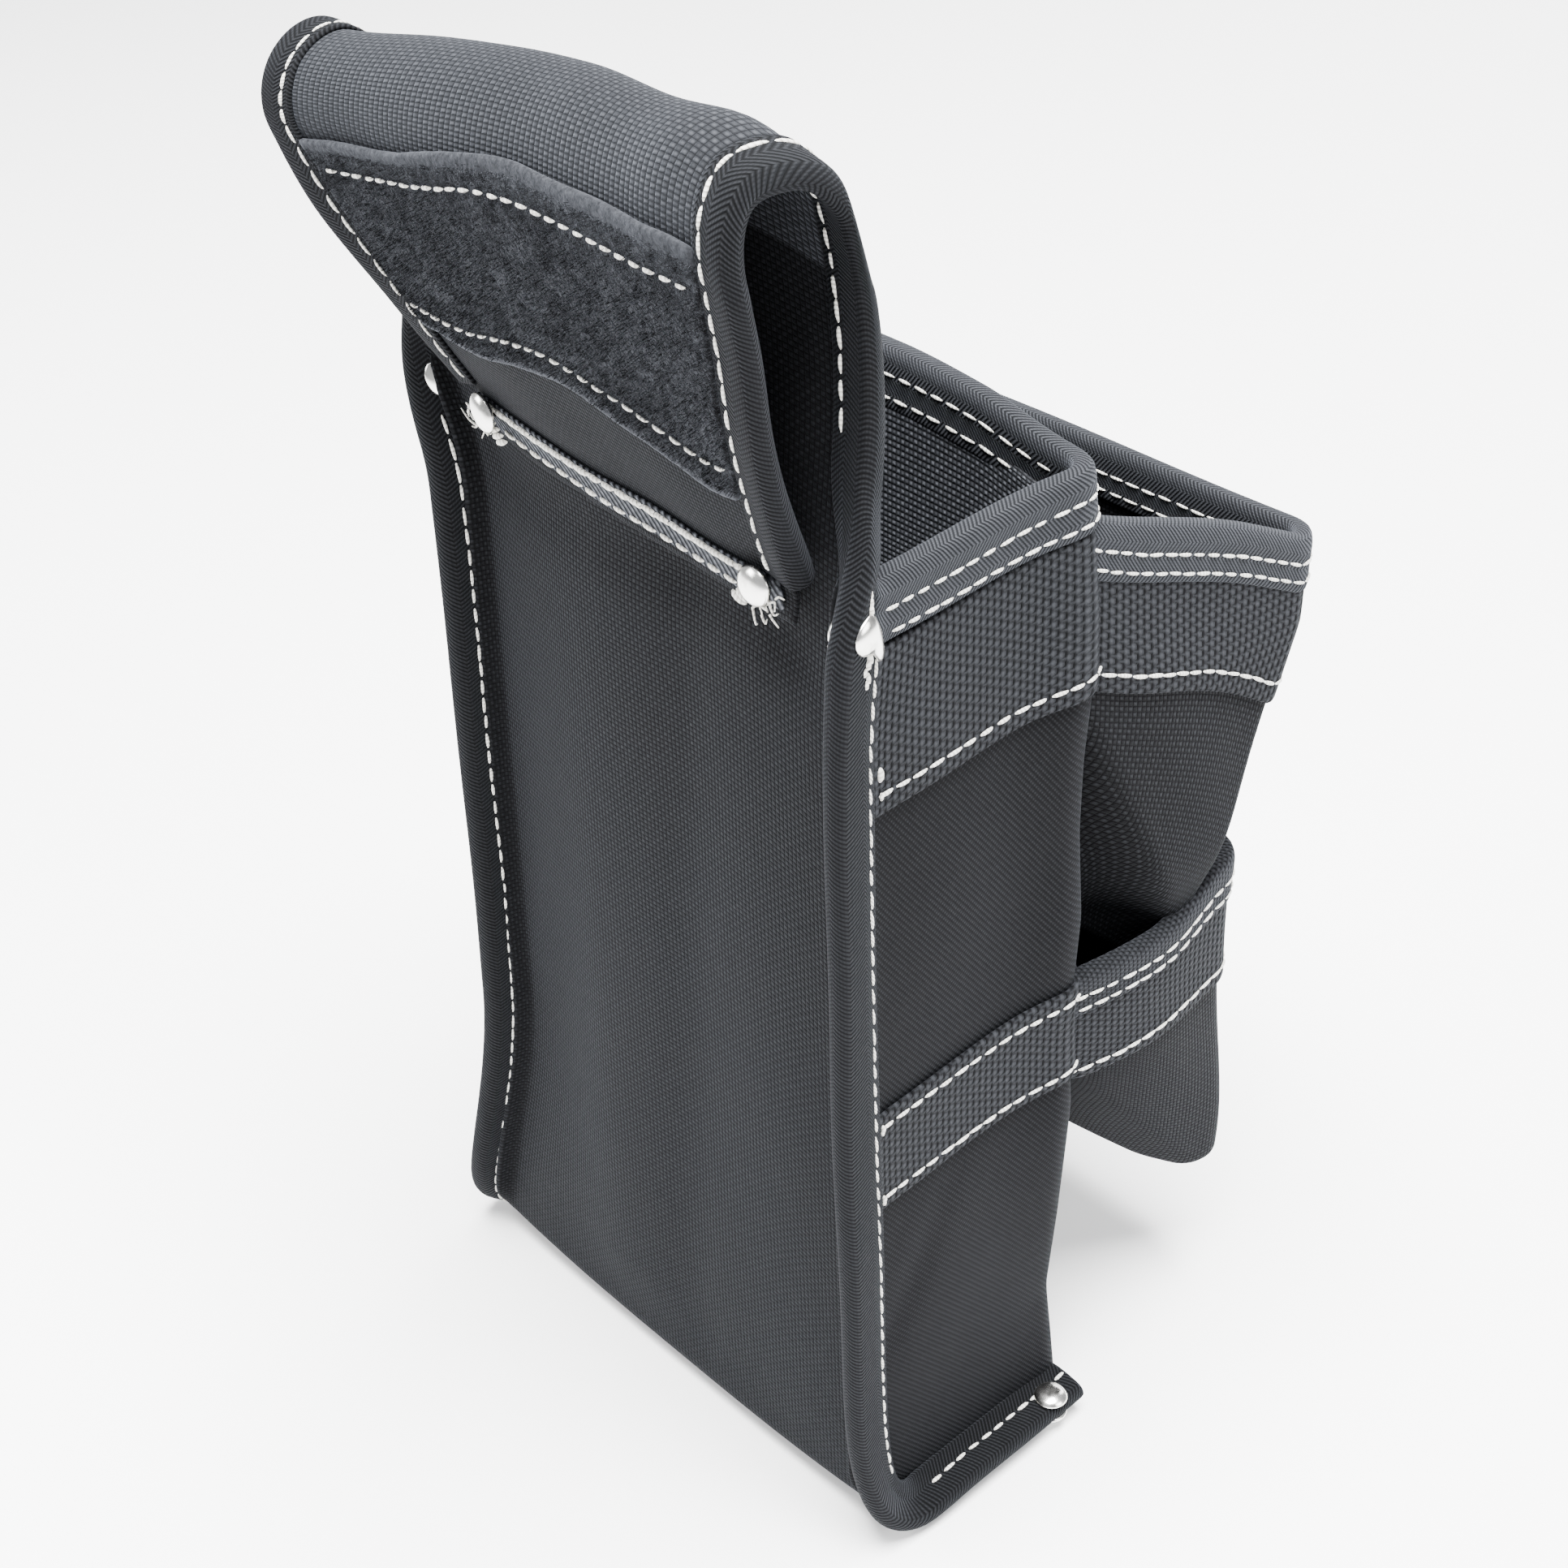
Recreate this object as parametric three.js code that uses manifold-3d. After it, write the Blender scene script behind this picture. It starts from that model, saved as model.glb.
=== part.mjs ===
// Electrician's tool pouch: a deep canvas pocket that hangs on a belt by a closed loop,
// with two flared pockets on its front.  Millimetres, +Z up, front towards -Y, belt side +Y.
// The origin is the centre of the flat base.
import * as THREE from 'three';
import { mergeVertices } from 'three/addons/utils/BufferGeometryUtils.js';
import Module from 'manifold-3d';

const wasm = await Module();
wasm.setup();

// ---------------------------------------------------------------- driving dimensions
const GAP = 0.3;                 // clearance between touching pieces
const HALF_WIDTH = 66;           // main pocket, outside of a side wall at the base
const HALF_DEPTH = 28;           // main pocket, outside of the back and front walls
const RIM_Z = 240;               // level rim of the main pocket
const CORNER_R = 9;              // front upright corners
const FOLD_R = 8;                // back panel rolling under into the base
const NARROWING = 0.065 / 221;   // width lost per mm of height, as a fraction

const CANVAS = 1.6;              // outer canvas
const LINING = 0.8;              // inside cloth
const BOARD = 1.5;               // stiffener sheets
const WEBBING = 1.5;             // webbing bands
const TAPE = 1.2;                // binding tape, one layer

const WIDE_BAND_Z = [194, 228.7];
const NARROW_BAND_Z = [99.5, 124.5];
const RIM_TAPE_HEIGHT = 11;

const LOOP_TOP_Z = 314;          // middle of the cloth at the top of the belt loop
const LOOP_START_Z = 295;        // where the back panel turns into the belt loop
const LOOP_CLOTH = 2.4;          // doubled cloth of the loop
const FLAP_END_Z = 224;
const FLAP_END_HALF = 45;        // half width of the flap at its lower end, before narrowing
const PANEL_HALF = 64;           // cloth of the back panel and loop, before narrowing
const EDGE_TAPE_WIDTH = 6;

const POCKET_CLOTH = 1.6;
const POCKET_HALF = 66;          // front pockets where they join the wall, before narrowing
const POCKET_BACK = -(HALF_DEPTH + WEBBING + 2 * GAP);
const POCKET_R = 5;

const RIVET_R = 4;
const RIVET_POST_R = 1.3;
const RIVET_DOME = 1.6;
const RIVET_SIDES = 20;

// ---------------------------------------------------------------- geometry helpers
const bare = (geometry) => {
  const copy = new THREE.BufferGeometry();
  copy.setAttribute('position', geometry.getAttribute('position').clone());
  if (geometry.index) copy.setIndex(geometry.index.clone());
  return mergeVertices(copy, 1e-4);
};

const toSolid = (geometry) => {
  const merged = bare(geometry);
  return new wasm.Manifold(new wasm.Mesh({
    numProp: 3,
    vertProperties: new Float32Array(merged.getAttribute('position').array),
    triVerts: new Uint32Array(merged.index.array),
  }));
};

const fromSolid = (solid) => {
  const mesh = solid.getMesh();
  const geometry = new THREE.BufferGeometry();
  geometry.setAttribute('position', new THREE.BufferAttribute(new Float32Array(mesh.vertProperties), 3));
  geometry.setIndex(new THREE.BufferAttribute(new Uint32Array(mesh.triVerts), 1));
  return geometry;
};

const join = (...parts) => fromSolid(parts.map(toSolid).reduce((a, b) => a.add(b)));
const cut = (body, ...tools) => fromSolid(tools.map(toSolid).reduce((a, b) => a.subtract(b), toSolid(body)));
const common = (a, b) => fromSolid(toSolid(a).intersect(toSolid(b)));

// Move every corner of a geometry by a function of its place.
const reshape = (geometry, move) => {
  const merged = bare(geometry);
  const position = merged.getAttribute('position');
  const point = new THREE.Vector3();
  for (let i = 0; i < position.count; i += 1) {
    move(point.fromBufferAttribute(position, i));
    position.setXYZ(i, point.x, point.y, point.z);
  }
  return merged;
};

const mirrorX = (geometry) => {
  const copy = reshape(geometry, (p) => { p.x = -p.x; });
  const index = copy.index;
  for (let i = 0; i < index.count; i += 3) {
    const first = index.getX(i);
    index.setX(i, index.getX(i + 1));
    index.setX(i + 1, first);
  }
  return copy;
};

const outline = (points) => new THREE.Shape(points.map(([u, v]) => new THREE.Vector2(u, v)));

const extrude = (points, depth, steps = 1) =>
  new THREE.ExtrudeGeometry(outline(points), { depth, steps, bevelEnabled: false });

// Outlines in the plan (x, y), the side view (y, z) and the front view (x, z).
const alongZ = (points, z0, z1, steps) => extrude(points, z1 - z0, steps).translate(0, 0, z0);
const alongX = (points, x0, x1, steps) => {
  const turn = new THREE.Matrix4().makeBasis(
    new THREE.Vector3(0, 1, 0), new THREE.Vector3(0, 0, 1), new THREE.Vector3(1, 0, 0));
  return extrude(points, x1 - x0, steps).applyMatrix4(turn).translate(x0, 0, 0);
};
const alongY = (points, y0, y1, steps) => {
  const turn = new THREE.Matrix4().makeBasis(
    new THREE.Vector3(1, 0, 0), new THREE.Vector3(0, 0, 1), new THREE.Vector3(0, -1, 0));
  return extrude(points, y1 - y0, steps).applyMatrix4(turn).translate(0, y1, 0);
};
const block = (x0, x1, y0, y1, z0, z1) =>
  new THREE.BoxGeometry(x1 - x0, y1 - y0, z1 - z0).translate((x0 + x1) / 2, (y0 + y1) / 2, (z0 + z1) / 2);

const beside = (path, distance) => path.map(([u, v], i) => {
  const [u0, v0] = path[Math.max(i - 1, 0)];
  const [u1, v1] = path[Math.min(i + 1, path.length - 1)];
  const length = Math.hypot(u1 - u0, v1 - v0);
  return [u - (distance * (v1 - v0)) / length, v + (distance * (u1 - u0)) / length];
});

// Closed outline of a strip that follows a path, between two distances to its left.
const strip = (path, one, other) => [...beside(path, one), ...beside(path, other).reverse()];

// Upright wall along a plan path, with a row of corners at each level, so that it can be
// reshaped smoothly.  It lies between the distances `far` and `near` to the path's left.
const levelledWall = (path, far, near, levels) => {
  const count = path.length;
  const sides = [beside(path, near), beside(path, far)];
  const corners = levels.flatMap((z) => sides.flatMap((side) => side.flatMap(([x, y]) => [x, y, z])));
  const at = (level, side, i) => (level * 2 + side) * count + i;
  const faces = [];
  const quad = (a, b, c, d) => faces.push(a, b, c, a, c, d);
  const top = levels.length - 1;
  for (let i = 0; i + 1 < count; i += 1) {
    for (let k = 0; k < top; k += 1) {
      quad(at(k, 1, i), at(k + 1, 1, i), at(k + 1, 1, i + 1), at(k, 1, i + 1));
      quad(at(k, 0, i), at(k, 0, i + 1), at(k + 1, 0, i + 1), at(k + 1, 0, i));
    }
    quad(at(top, 0, i), at(top, 0, i + 1), at(top, 1, i + 1), at(top, 1, i));
    quad(at(0, 0, i), at(0, 1, i), at(0, 1, i + 1), at(0, 0, i + 1));
  }
  const end = count - 1;
  for (let k = 0; k < top; k += 1) {
    quad(at(k, 0, 0), at(k + 1, 0, 0), at(k + 1, 1, 0), at(k, 1, 0));
    quad(at(k, 0, end), at(k, 1, end), at(k + 1, 1, end), at(k + 1, 0, end));
  }
  const geometry = new THREE.BufferGeometry();
  geometry.setAttribute('position', new THREE.Float32BufferAttribute(corners, 3));
  geometry.setIndex(faces);
  return geometry;
};
const levelsBetween = (z0, z1, steps) =>
  Array.from({ length: steps + 1 }, (_, i) => THREE.MathUtils.lerp(z0, z1, i / steps));

const arc = (u, v, radius, from, to, count) => Array.from({ length: count + 1 }, (_, i) => {
  const angle = THREE.MathUtils.degToRad(from + ((to - from) * i) / count);
  return [u + radius * Math.cos(angle), v + radius * Math.sin(angle)];
});

// Plan of a wall that runs down one side, across the front and back along the other.
const aroundFront = (half, back, front, radius, sideSteps = 1) => {
  const side = Array.from({ length: sideSteps }, (_, i) =>
    THREE.MathUtils.lerp(back, front + radius, i / sideSteps));
  return [
    ...side.map((y) => [-half, y]),
    ...arc(-half + radius, front + radius, radius, 180, 270, 5),
    ...arc(half - radius, front + radius, radius, 270, 360, 5),
    ...side.reverse().map((y) => [half, y]),
  ];
};
const wallPlan = (half, back, front, radius, outside, inside, sideSteps = 1) =>
  strip(aroundFront(half, back, front, radius, sideSteps), inside, -outside);

const narrow = (geometry) => reshape(geometry, (p) => { p.x *= 1 - NARROWING * p.z; });

// ---------------------------------------------------------------- main pocket
const SHELL_BACK = HALF_DEPTH - CANVAS - GAP;
const RIVET_CLEARANCE = 4.2;     // bands and rim tape stop this far short of the wall's back edge
const TRIM_BACK = SHELL_BACK - RIVET_CLEARANCE;
const mainPlan = (outside, inside, back = SHELL_BACK) =>
  wallPlan(HALF_WIDTH, back, -HALF_DEPTH, CORNER_R, outside, inside);

// Back and base are one cloth, rolled under along the bottom of the back.
const backPanel = () => {
  const middle = CANVAS / 2;
  const path = [
    [-HALF_DEPTH + CANVAS, middle],
    ...arc(HALF_DEPTH - FOLD_R, FOLD_R, FOLD_R - middle, 270, 360, 6),
    [HALF_DEPTH - middle, LOOP_START_Z - GAP],
  ];
  return alongX(strip(path, middle, -middle), -PANEL_HALF, PANEL_HALF);
};

const pocketWall = () => {
  const wall = alongZ(mainPlan(0, CANVAS), CANVAS + GAP, RIM_Z);
  // the wall's lower back corners follow the roll of the back panel
  const roll = [
    [HALF_DEPTH - FOLD_R, -1],
    ...arc(HALF_DEPTH - FOLD_R, FOLD_R, FOLD_R - CANVAS - GAP, 270, 360, 6),
    [HALF_DEPTH + 1, FOLD_R],
    [HALF_DEPTH + 1, -1],
  ];
  return cut(wall, alongX(roll, -HALF_WIDTH - 1, HALF_WIDTH + 1));
};

const LINER_OUT = CANVAS + GAP;
const LINER_BACK = HALF_DEPTH - CANVAS - BOARD - 2 * GAP;
const LINER_FLOOR = CANVAS + BOARD + 2 * GAP;
const linerPlan = (inset) => [
  ...aroundFront(HALF_WIDTH - LINER_OUT - inset, LINER_BACK - inset,
    -HALF_DEPTH + LINER_OUT + inset, CORNER_R - LINER_OUT - inset),
];
const LINER_CHAMFER = 6;         // the lining cuts across the rolled corner of the canvas
const pocketLining = () => {
  const bag = (inset, floor, top) => {
    const full = alongZ(linerPlan(inset), floor, top);
    const corner = [
      [LINER_BACK - inset - LINER_CHAMFER, floor - 1],
      [LINER_BACK - inset - LINER_CHAMFER, floor],
      [LINER_BACK - inset, floor + LINER_CHAMFER],
      [LINER_BACK + 2, floor + LINER_CHAMFER],
      [LINER_BACK + 2, floor - 1],
    ];
    return cut(full, alongX(corner, -HALF_WIDTH, HALF_WIDTH));
  };
  return cut(bag(0, LINER_FLOOR, RIM_Z), bag(LINING, LINER_FLOOR + LINING, RIM_Z + 5));
};

const BOARD_HALF = 58;
const backBoard = () => block(-BOARD_HALF, BOARD_HALF, LINER_BACK + GAP, LINER_BACK + GAP + BOARD,
  FOLD_R + 2, LOOP_START_Z - 7);
const baseBoard = () => block(-BOARD_HALF, BOARD_HALF, -HALF_DEPTH + 5, HALF_DEPTH - FOLD_R - 1,
  CANVAS + GAP, CANVAS + GAP + BOARD);

// Tape folded over the rim: an inner leg, an outer leg and the fold above.
const rimTape = () => {
  const inner = CANVAS + GAP + LINING + GAP;
  const tape = alongZ(mainPlan(GAP + TAPE, inner + TAPE, TRIM_BACK),
    RIM_Z - RIM_TAPE_HEIGHT, RIM_Z + GAP + TAPE);
  const slot = alongZ(mainPlan(GAP, inner, SHELL_BACK + 5), RIM_Z - RIM_TAPE_HEIGHT - 1, RIM_Z + GAP);
  return cut(tape, slot);
};

const band = ([bottom, top]) =>
  alongZ(mainPlan(GAP + WEBBING, -GAP, TRIM_BACK), bottom, top);

// ---------------------------------------------------------------- belt loop
const LOOP_BACK = HALF_DEPTH - LOOP_CLOTH / 2;
const LOOP_STEPS = 54;
const loopPath = () => {
  const curve = new THREE.CatmullRomCurve3([
    [LOOP_BACK, LOOP_START_Z],
    [LOOP_BACK + 2.5, 307],
    [LOOP_BACK + 10, LOOP_TOP_Z],
    [LOOP_BACK + 18, 309],
    [LOOP_BACK + 21.5, 296],
    [LOOP_BACK + 20, 281],
    [LOOP_BACK + 16.5, 266],
    [LOOP_BACK + 10.5, 247],
    [LOOP_BACK + 4.2, 231],
    [LOOP_BACK + 3, FLAP_END_Z],
  ].map(([y, z]) => new THREE.Vector3(0, y, z)), false, 'catmullrom', 0.5);
  return curve.getPoints(LOOP_STEPS).map((p) => [p.y, p.z]);
};
const LOOP = loopPath();
const FLAP = LOOP.slice(LOOP.findIndex(([, z], i) => i > 0 && z < LOOP[i - 1][1]));
const flapY = (z) => {
  const next = FLAP.findIndex(([, level]) => level <= z);
  const [y0, z0] = FLAP[next - 1];
  const [y1, z1] = FLAP[next];
  return THREE.MathUtils.mapLinear(z, z0, z1, y0, y1);
};
const alongFlap = ([bottom, top], steps) => levelsBetween(top, bottom, steps).map((z) => [flapY(z), z]);
const flapHalf = (z) => {
  const down = THREE.MathUtils.clamp((LOOP_START_Z - z) / (LOOP_START_Z - FLAP_END_Z), 0, 1);
  return THREE.MathUtils.lerp(PANEL_HALF, FLAP_END_HALF, down);
};

const beltLoop = () => reshape(
  alongX(strip(LOOP, LOOP_CLOTH / 2, -LOOP_CLOTH / 2), -1, 1),
  (p) => { p.x *= flapHalf(p.z); });

// Strip of soft hook-and-loop pile across the flap.
const PILE = 1.4;
const PILE_Z = [253, 296];
const pileStrip = () => {
  const inner = LOOP_CLOTH / 2 + GAP;
  return reshape(alongX(strip(alongFlap(PILE_Z, 18), inner, inner + PILE), -1, 1),
    (p) => { p.x *= flapHalf(p.z) - EDGE_LAP - 4 * GAP; });
};

const END_TAPE_Z = [226.5, 235.5];
const endTape = () => {
  const inner = LOOP_CLOTH / 2 + GAP;
  return alongX(strip(alongFlap(END_TAPE_Z, 4), inner, inner + TAPE), -FLAP_END_HALF, FLAP_END_HALF);
};

// Binding tape on each side.  The seam binding wraps the standing seam down the back edge of
// the main pocket, and goes on round the bottom corner and forward along the base seam.
const RIDGE = 9;                 // how far the seam stands out behind the back panel
const RIDGE_R = 14;              // the seam's outer edge round the bottom corner
const SEAM_LAP_X = 60.5;         // tape's inner edge, flat on the back panel
const SEAM_FOOT_X = 65.2;        // inner face of the standing seam
const SEAM_TIP_X = 68.8;
const SEAM_OUTER_X = 70.9;       // outer face, behind the back panel
const SEAM_WALL_X = 67.6;        // outer face, on the side wall
const SEAM_WRAP = 5.5;           // tape lying on the side wall
const FLANGE_OUT_X = 75.8;       // outer edge of the base seam, which stands out level
const FLANGE_Z = [4.2, 7.4];     // under and over that edge
const FLANGE_FRONT = -HALF_DEPTH - 2.5;
const FLANGE_BACK = HALF_DEPTH + 3;
const EDGE_LAP = 4;              // tape lying on the cloth of the loop
const PANEL_TAPE_Z = RIM_Z + 2.5;

const backSeam = () => alongZ([
  [SEAM_LAP_X, HALF_DEPTH + GAP],
  [SEAM_LAP_X, HALF_DEPTH + GAP + 1],
  [SEAM_FOOT_X, HALF_DEPTH + 2],
  [SEAM_TIP_X - 1.8, HALF_DEPTH + RIDGE - 1.4],
  [SEAM_TIP_X, HALF_DEPTH + RIDGE],
  [SEAM_TIP_X + 1.8, HALF_DEPTH + RIDGE - 0.8],
  [SEAM_OUTER_X, HALF_DEPTH + 5],
  [SEAM_WALL_X, HALF_DEPTH - SEAM_WRAP],
  [HALF_WIDTH + GAP, HALF_DEPTH - SEAM_WRAP],
  [HALF_WIDTH + GAP, HALF_DEPTH - CANVAS],
  [PANEL_HALF + GAP, HALF_DEPTH - CANVAS],
  [PANEL_HALF + GAP, HALF_DEPTH + GAP],
], GAP, PANEL_TAPE_Z - GAP);

const baseSeam = () => alongY([
  [PANEL_HALF + GAP, GAP],
  [SEAM_WALL_X, GAP],
  [SEAM_WALL_X + 1, FLANGE_Z[0] - 0.6],
  [FLANGE_OUT_X - 0.6, FLANGE_Z[0]],
  [FLANGE_OUT_X, FLANGE_Z[0] + 1.4],
  [FLANGE_OUT_X - 0.8, FLANGE_Z[1]],
  [SEAM_WALL_X, FLANGE_Z[1] + 1],
  [HALF_WIDTH + GAP, FLANGE_Z[1] + 1],
  [HALF_WIDTH + GAP, CANVAS],
  [PANEL_HALF + GAP, CANVAS],
], FLANGE_FRONT, FLANGE_BACK);

// Side view that both seams are cut to, round at the bottom corner.
const seamLimit = () => alongX([
  [FLANGE_FRONT - 1, 0],
  ...arc(HALF_DEPTH + RIDGE - RIDGE_R, RIDGE_R, RIDGE_R, 270, 360, 6),
  [HALF_DEPTH + RIDGE, LOOP_TOP_Z],
  [FLANGE_FRONT - 1, LOOP_TOP_Z],
], 0, 2 * HALF_WIDTH);

const seamBinding = () => common(join(backSeam(), baseSeam()), seamLimit());

// The loop binding wraps the edge of the back panel above the rim.
const panelTape = () => cut(
  block(PANEL_HALF - EDGE_LAP, PANEL_HALF + EDGE_TAPE_WIDTH, HALF_DEPTH - LOOP_CLOTH - GAP - TAPE,
    HALF_DEPTH + GAP + TAPE, PANEL_TAPE_Z, LOOP_START_Z + 1),
  block(0, PANEL_HALF + GAP, HALF_DEPTH - LOOP_CLOTH - GAP, HALF_DEPTH + GAP, 0, LOOP_TOP_Z));

// It goes on as a U over the loop's edge, and stops above the tape that closes the loop.
const loopTape = () => {
  const thick = LOOP_CLOTH / 2 + GAP + TAPE;
  const tape = reshape(alongX(strip(LOOP, thick, -thick), 0, 1), (p) => {
    p.x = flapHalf(p.z) + THREE.MathUtils.lerp(-EDGE_LAP, EDGE_TAPE_WIDTH, p.x);
  });
  const cloth = LOOP_CLOTH / 2 + GAP;
  const slot = reshape(alongX(strip(LOOP, cloth, -cloth), 0, 1), (p) => {
    p.x *= flapHalf(p.z) + 2 * GAP;
  });
  const end = block(0, 2 * HALF_WIDTH, HALF_DEPTH - 10, HALF_DEPTH + 20, FLAP_END_Z - 5, END_TAPE_Z[1] + 1);
  return cut(tape, slot, end);
};

const loopBinding = () => join(panelTape(), loopTape());

// ---------------------------------------------------------------- front pockets
// Each pocket is drawn as an upright wall of height H, then moved: `s` runs from 0 at the
// main pocket to 1 at the front, and `t` is the distance below the rim.
const ZONE = 34;                 // depth below the rim that keeps the rim's own shape
const SIDE_STEPS = 8;
const FLOOR_DROP = 2;            // pocket floor, measured straight down through its slope
const frontPocket = ({ reach, height, rim, base, zone, front, flare, tuck }) => {
  const move = (p) => {
    const away = POCKET_BACK - p.y;
    const s = THREE.MathUtils.clamp(away / (reach - POCKET_R), 0, 1);
    const t = height - p.z;
    const z = t < ZONE
      ? rim(s) - (t * zone(s)) / ZONE
      : THREE.MathUtils.mapLinear(t, ZONE, height, rim(s) - zone(s), base(s));
    const u = THREE.MathUtils.clamp((z - base(1)) / (rim(1) - base(1)), 0, 1);
    p.y += s * (reach - front(u));
    p.x *= 1 + flare * s * u - tuck * (1 - u);
    p.z = z;
  };
  const frontFace = POCKET_BACK - reach;
  const wall = (outside, inside, z0, z1, steps) => {
    const path = aroundFront(POCKET_HALF, POCKET_BACK, frontFace, POCKET_R, SIDE_STEPS);
    return reshape(levelledWall(path, inside, -outside, levelsBetween(z0, z1, steps)), move);
  };
  const edge = levelsBetween(POCKET_BACK, frontFace, SIDE_STEPS).map((y) => {
    const corner = new THREE.Vector3(POCKET_HALF, y, 0);
    move(corner);
    return corner;
  });
  const below = (drop) => edge.map((corner) => [corner.y, corner.z - drop]);
  const floorHalf = POCKET_HALF * (1 - tuck);
  const tapeBottom = height - RIM_TAPE_HEIGHT + 1;
  const slot = wall(GAP, POCKET_CLOTH + GAP, tapeBottom - 2, height + GAP, 3);
  return {
    wall: wall(0, POCKET_CLOTH, 3 * GAP, height, 12),
    floor: alongX([...below(GAP), ...below(GAP + FLOOR_DROP).reverse()], -floorHalf, floorHalf),
    tape: cut(wall(GAP + TAPE, POCKET_CLOTH + GAP + TAPE, tapeBottom, height + GAP + TAPE, 3), slot),
    webbing: wall(2 * GAP + WEBBING, -2 * GAP, height - ZONE + 1, tapeBottom - 2 * GAP, 4),
  };
};

const { lerp, smoothstep } = THREE.MathUtils;
const upperPocket = frontPocket({
  reach: 62,
  height: 85,
  flare: 0.1,
  tuck: 0.05,
  rim: (s) => lerp(231, 204, s),
  base: (s) => lerp(144, 118, s),
  zone: () => ZONE,
  front: (u) => lerp(31, 62, Math.min(1, u / 0.8)),
});
const lowerPocket = frontPocket({
  reach: 55,
  height: 90,
  flare: 0.05,
  tuck: 0,
  rim: (s) => 122 - 8 * Math.sin(Math.PI * Math.min(1, s / 0.9)) + 16 * smoothstep(s, 0.7, 1),
  base: (s) => lerp(87, 48, s),
  zone: (s) => lerp(24, ZONE, s),
  front: (u) => lerp(55, 47, smoothstep(u, 0, 0.9)),
});

// ---------------------------------------------------------------- rivets
// A rivet is a domed cap with a socket, and a domed base whose post runs through the cloth.
const DOME = [
  [0, RIVET_DOME],
  [RIVET_R * 0.55, RIVET_DOME * 0.85],
  [RIVET_R * 0.88, RIVET_DOME * 0.45],
  [RIVET_R, 0],
];
const turned = (profile) =>
  new THREE.LatheGeometry(profile.map(([r, h]) => new THREE.Vector2(r, h)), RIVET_SIDES).rotateX(Math.PI / 2);

const rivetCap = () => {
  const bore = RIVET_POST_R + GAP;
  const roof = RIVET_DOME * 0.5;
  return turned([...DOME, [bore, 0], [bore, roof], [0, roof]].reverse());
};
const rivetBase = (grip) => {
  const dome = DOME.map(([r, h]) => [r, -h]);
  return turned([...dome, [RIVET_POST_R, 0], [RIVET_POST_R, grip + GAP], [0, grip + GAP]]);
};

// `at` is the middle of the cloth, `axis` points from the base to the cap, `grip` is the
// distance between the faces of cap and base.
const widthAt = (x, z) => x * (1 - NARROWING * z);
const RIVETS = {
  flap_end: {
    at: [widthAt(41, 232), HALF_DEPTH + 1.3, 232], axis: [0, 1, 0], grip: 12.4,
  },
  side_seam: {
    at: [widthAt(68.4, 231), HALF_DEPTH + 5.4, 231], axis: [0.96, -0.28, 0], grip: 5.6,
  },
  base_seam: {
    at: [72.4, FLANGE_FRONT + 7.5, 5.9], axis: [0, 0, 1], grip: 5,
  },
};
const placed = (geometry, { at, axis }, shift, side) => {
  const direction = new THREE.Vector3(...axis).normalize();
  const turn = new THREE.Quaternion().setFromUnitVectors(new THREE.Vector3(0, 0, 1), direction);
  const place = new THREE.Vector3(...at).addScaledVector(direction, shift);
  const moved = geometry.clone().applyQuaternion(turn).translate(place.x, place.y, place.z);
  return side === 'left' ? mirrorX(moved) : bare(moved);
};
const DRILL_LENGTH = 30;
const drill = (rivet, side) => placed(
  new THREE.CylinderGeometry(RIVET_POST_R + GAP, RIVET_POST_R + GAP, DRILL_LENGTH, 14).rotateX(Math.PI / 2),
  rivet, 0, side);

// ---------------------------------------------------------------- assembly
const canvas = { color: 0x34373c, roughness: 0.9, metalness: 0 };
const webbingCloth = { color: 0x3d4045, roughness: 0.95, metalness: 0 };
const bindingTape = { color: 0x2f3236, roughness: 0.9, metalness: 0 };
const pileCloth = { color: 0x23262b, roughness: 1, metalness: 0 };
const liningCloth = { color: 0x24262a, roughness: 0.9, metalness: 0 };
const board = { color: 0x1c1c1c, roughness: 0.5, metalness: 0 };
const nickel = { color: 0xc9c7c2, roughness: 0.25, metalness: 1 };

const pouch = new THREE.Group();
const add = (name, geometry, look) => {
  const mesh = new THREE.Mesh(geometry, new THREE.MeshStandardMaterial(look));
  mesh.name = name;
  pouch.add(mesh);
};
const SIDES = ['left', 'right'];
const holes = (name) => SIDES.map((side) => drill(RIVETS[name], side));

add('back_panel', cut(narrow(backPanel()), ...holes('flap_end')), canvas);
add('back_stiffener', cut(narrow(backBoard()), ...holes('flap_end')), board);
add('base_stiffener', narrow(baseBoard()), board);
add('pocket_wall', narrow(pocketWall()), canvas);
add('pocket_lining', cut(narrow(pocketLining()), ...holes('flap_end')), liningCloth);
add('pocket_rim_binding', narrow(rimTape()), bindingTape);
add('wide_webbing_band', narrow(band(WIDE_BAND_Z)), webbingCloth);
add('narrow_webbing_band', narrow(band(NARROW_BAND_Z)), webbingCloth);

add('belt_loop_flap', cut(narrow(beltLoop()), ...holes('flap_end')), canvas);
add('loop_fastener_strip', narrow(pileStrip()), pileCloth);
add('flap_end_tape', cut(narrow(endTape()), ...holes('flap_end')), bindingTape);

for (const side of SIDES) {
  const handed = (geometry) => (side === 'left' ? mirrorX(narrow(geometry)) : narrow(geometry));
  const holesHere = [drill(RIVETS.side_seam, side), drill(RIVETS.base_seam, side)];
  add(`seam_binding_${side}`, cut(handed(seamBinding()), ...holesHere), bindingTape);
  add(`loop_binding_${side}`, handed(loopBinding()), bindingTape);
}

const looks = { wall: canvas, floor: canvas, tape: bindingTape, webbing: webbingCloth };
const pieceNames = { wall: 'wall', floor: 'bottom', tape: 'rim_binding', webbing: 'webbing_band' };
for (const [level, pocket] of Object.entries({ upper: upperPocket, lower: lowerPocket })) {
  for (const [piece, geometry] of Object.entries(pocket)) {
    add(`${level}_pocket_${pieceNames[piece]}`, narrow(geometry), looks[piece]);
  }
}

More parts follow.
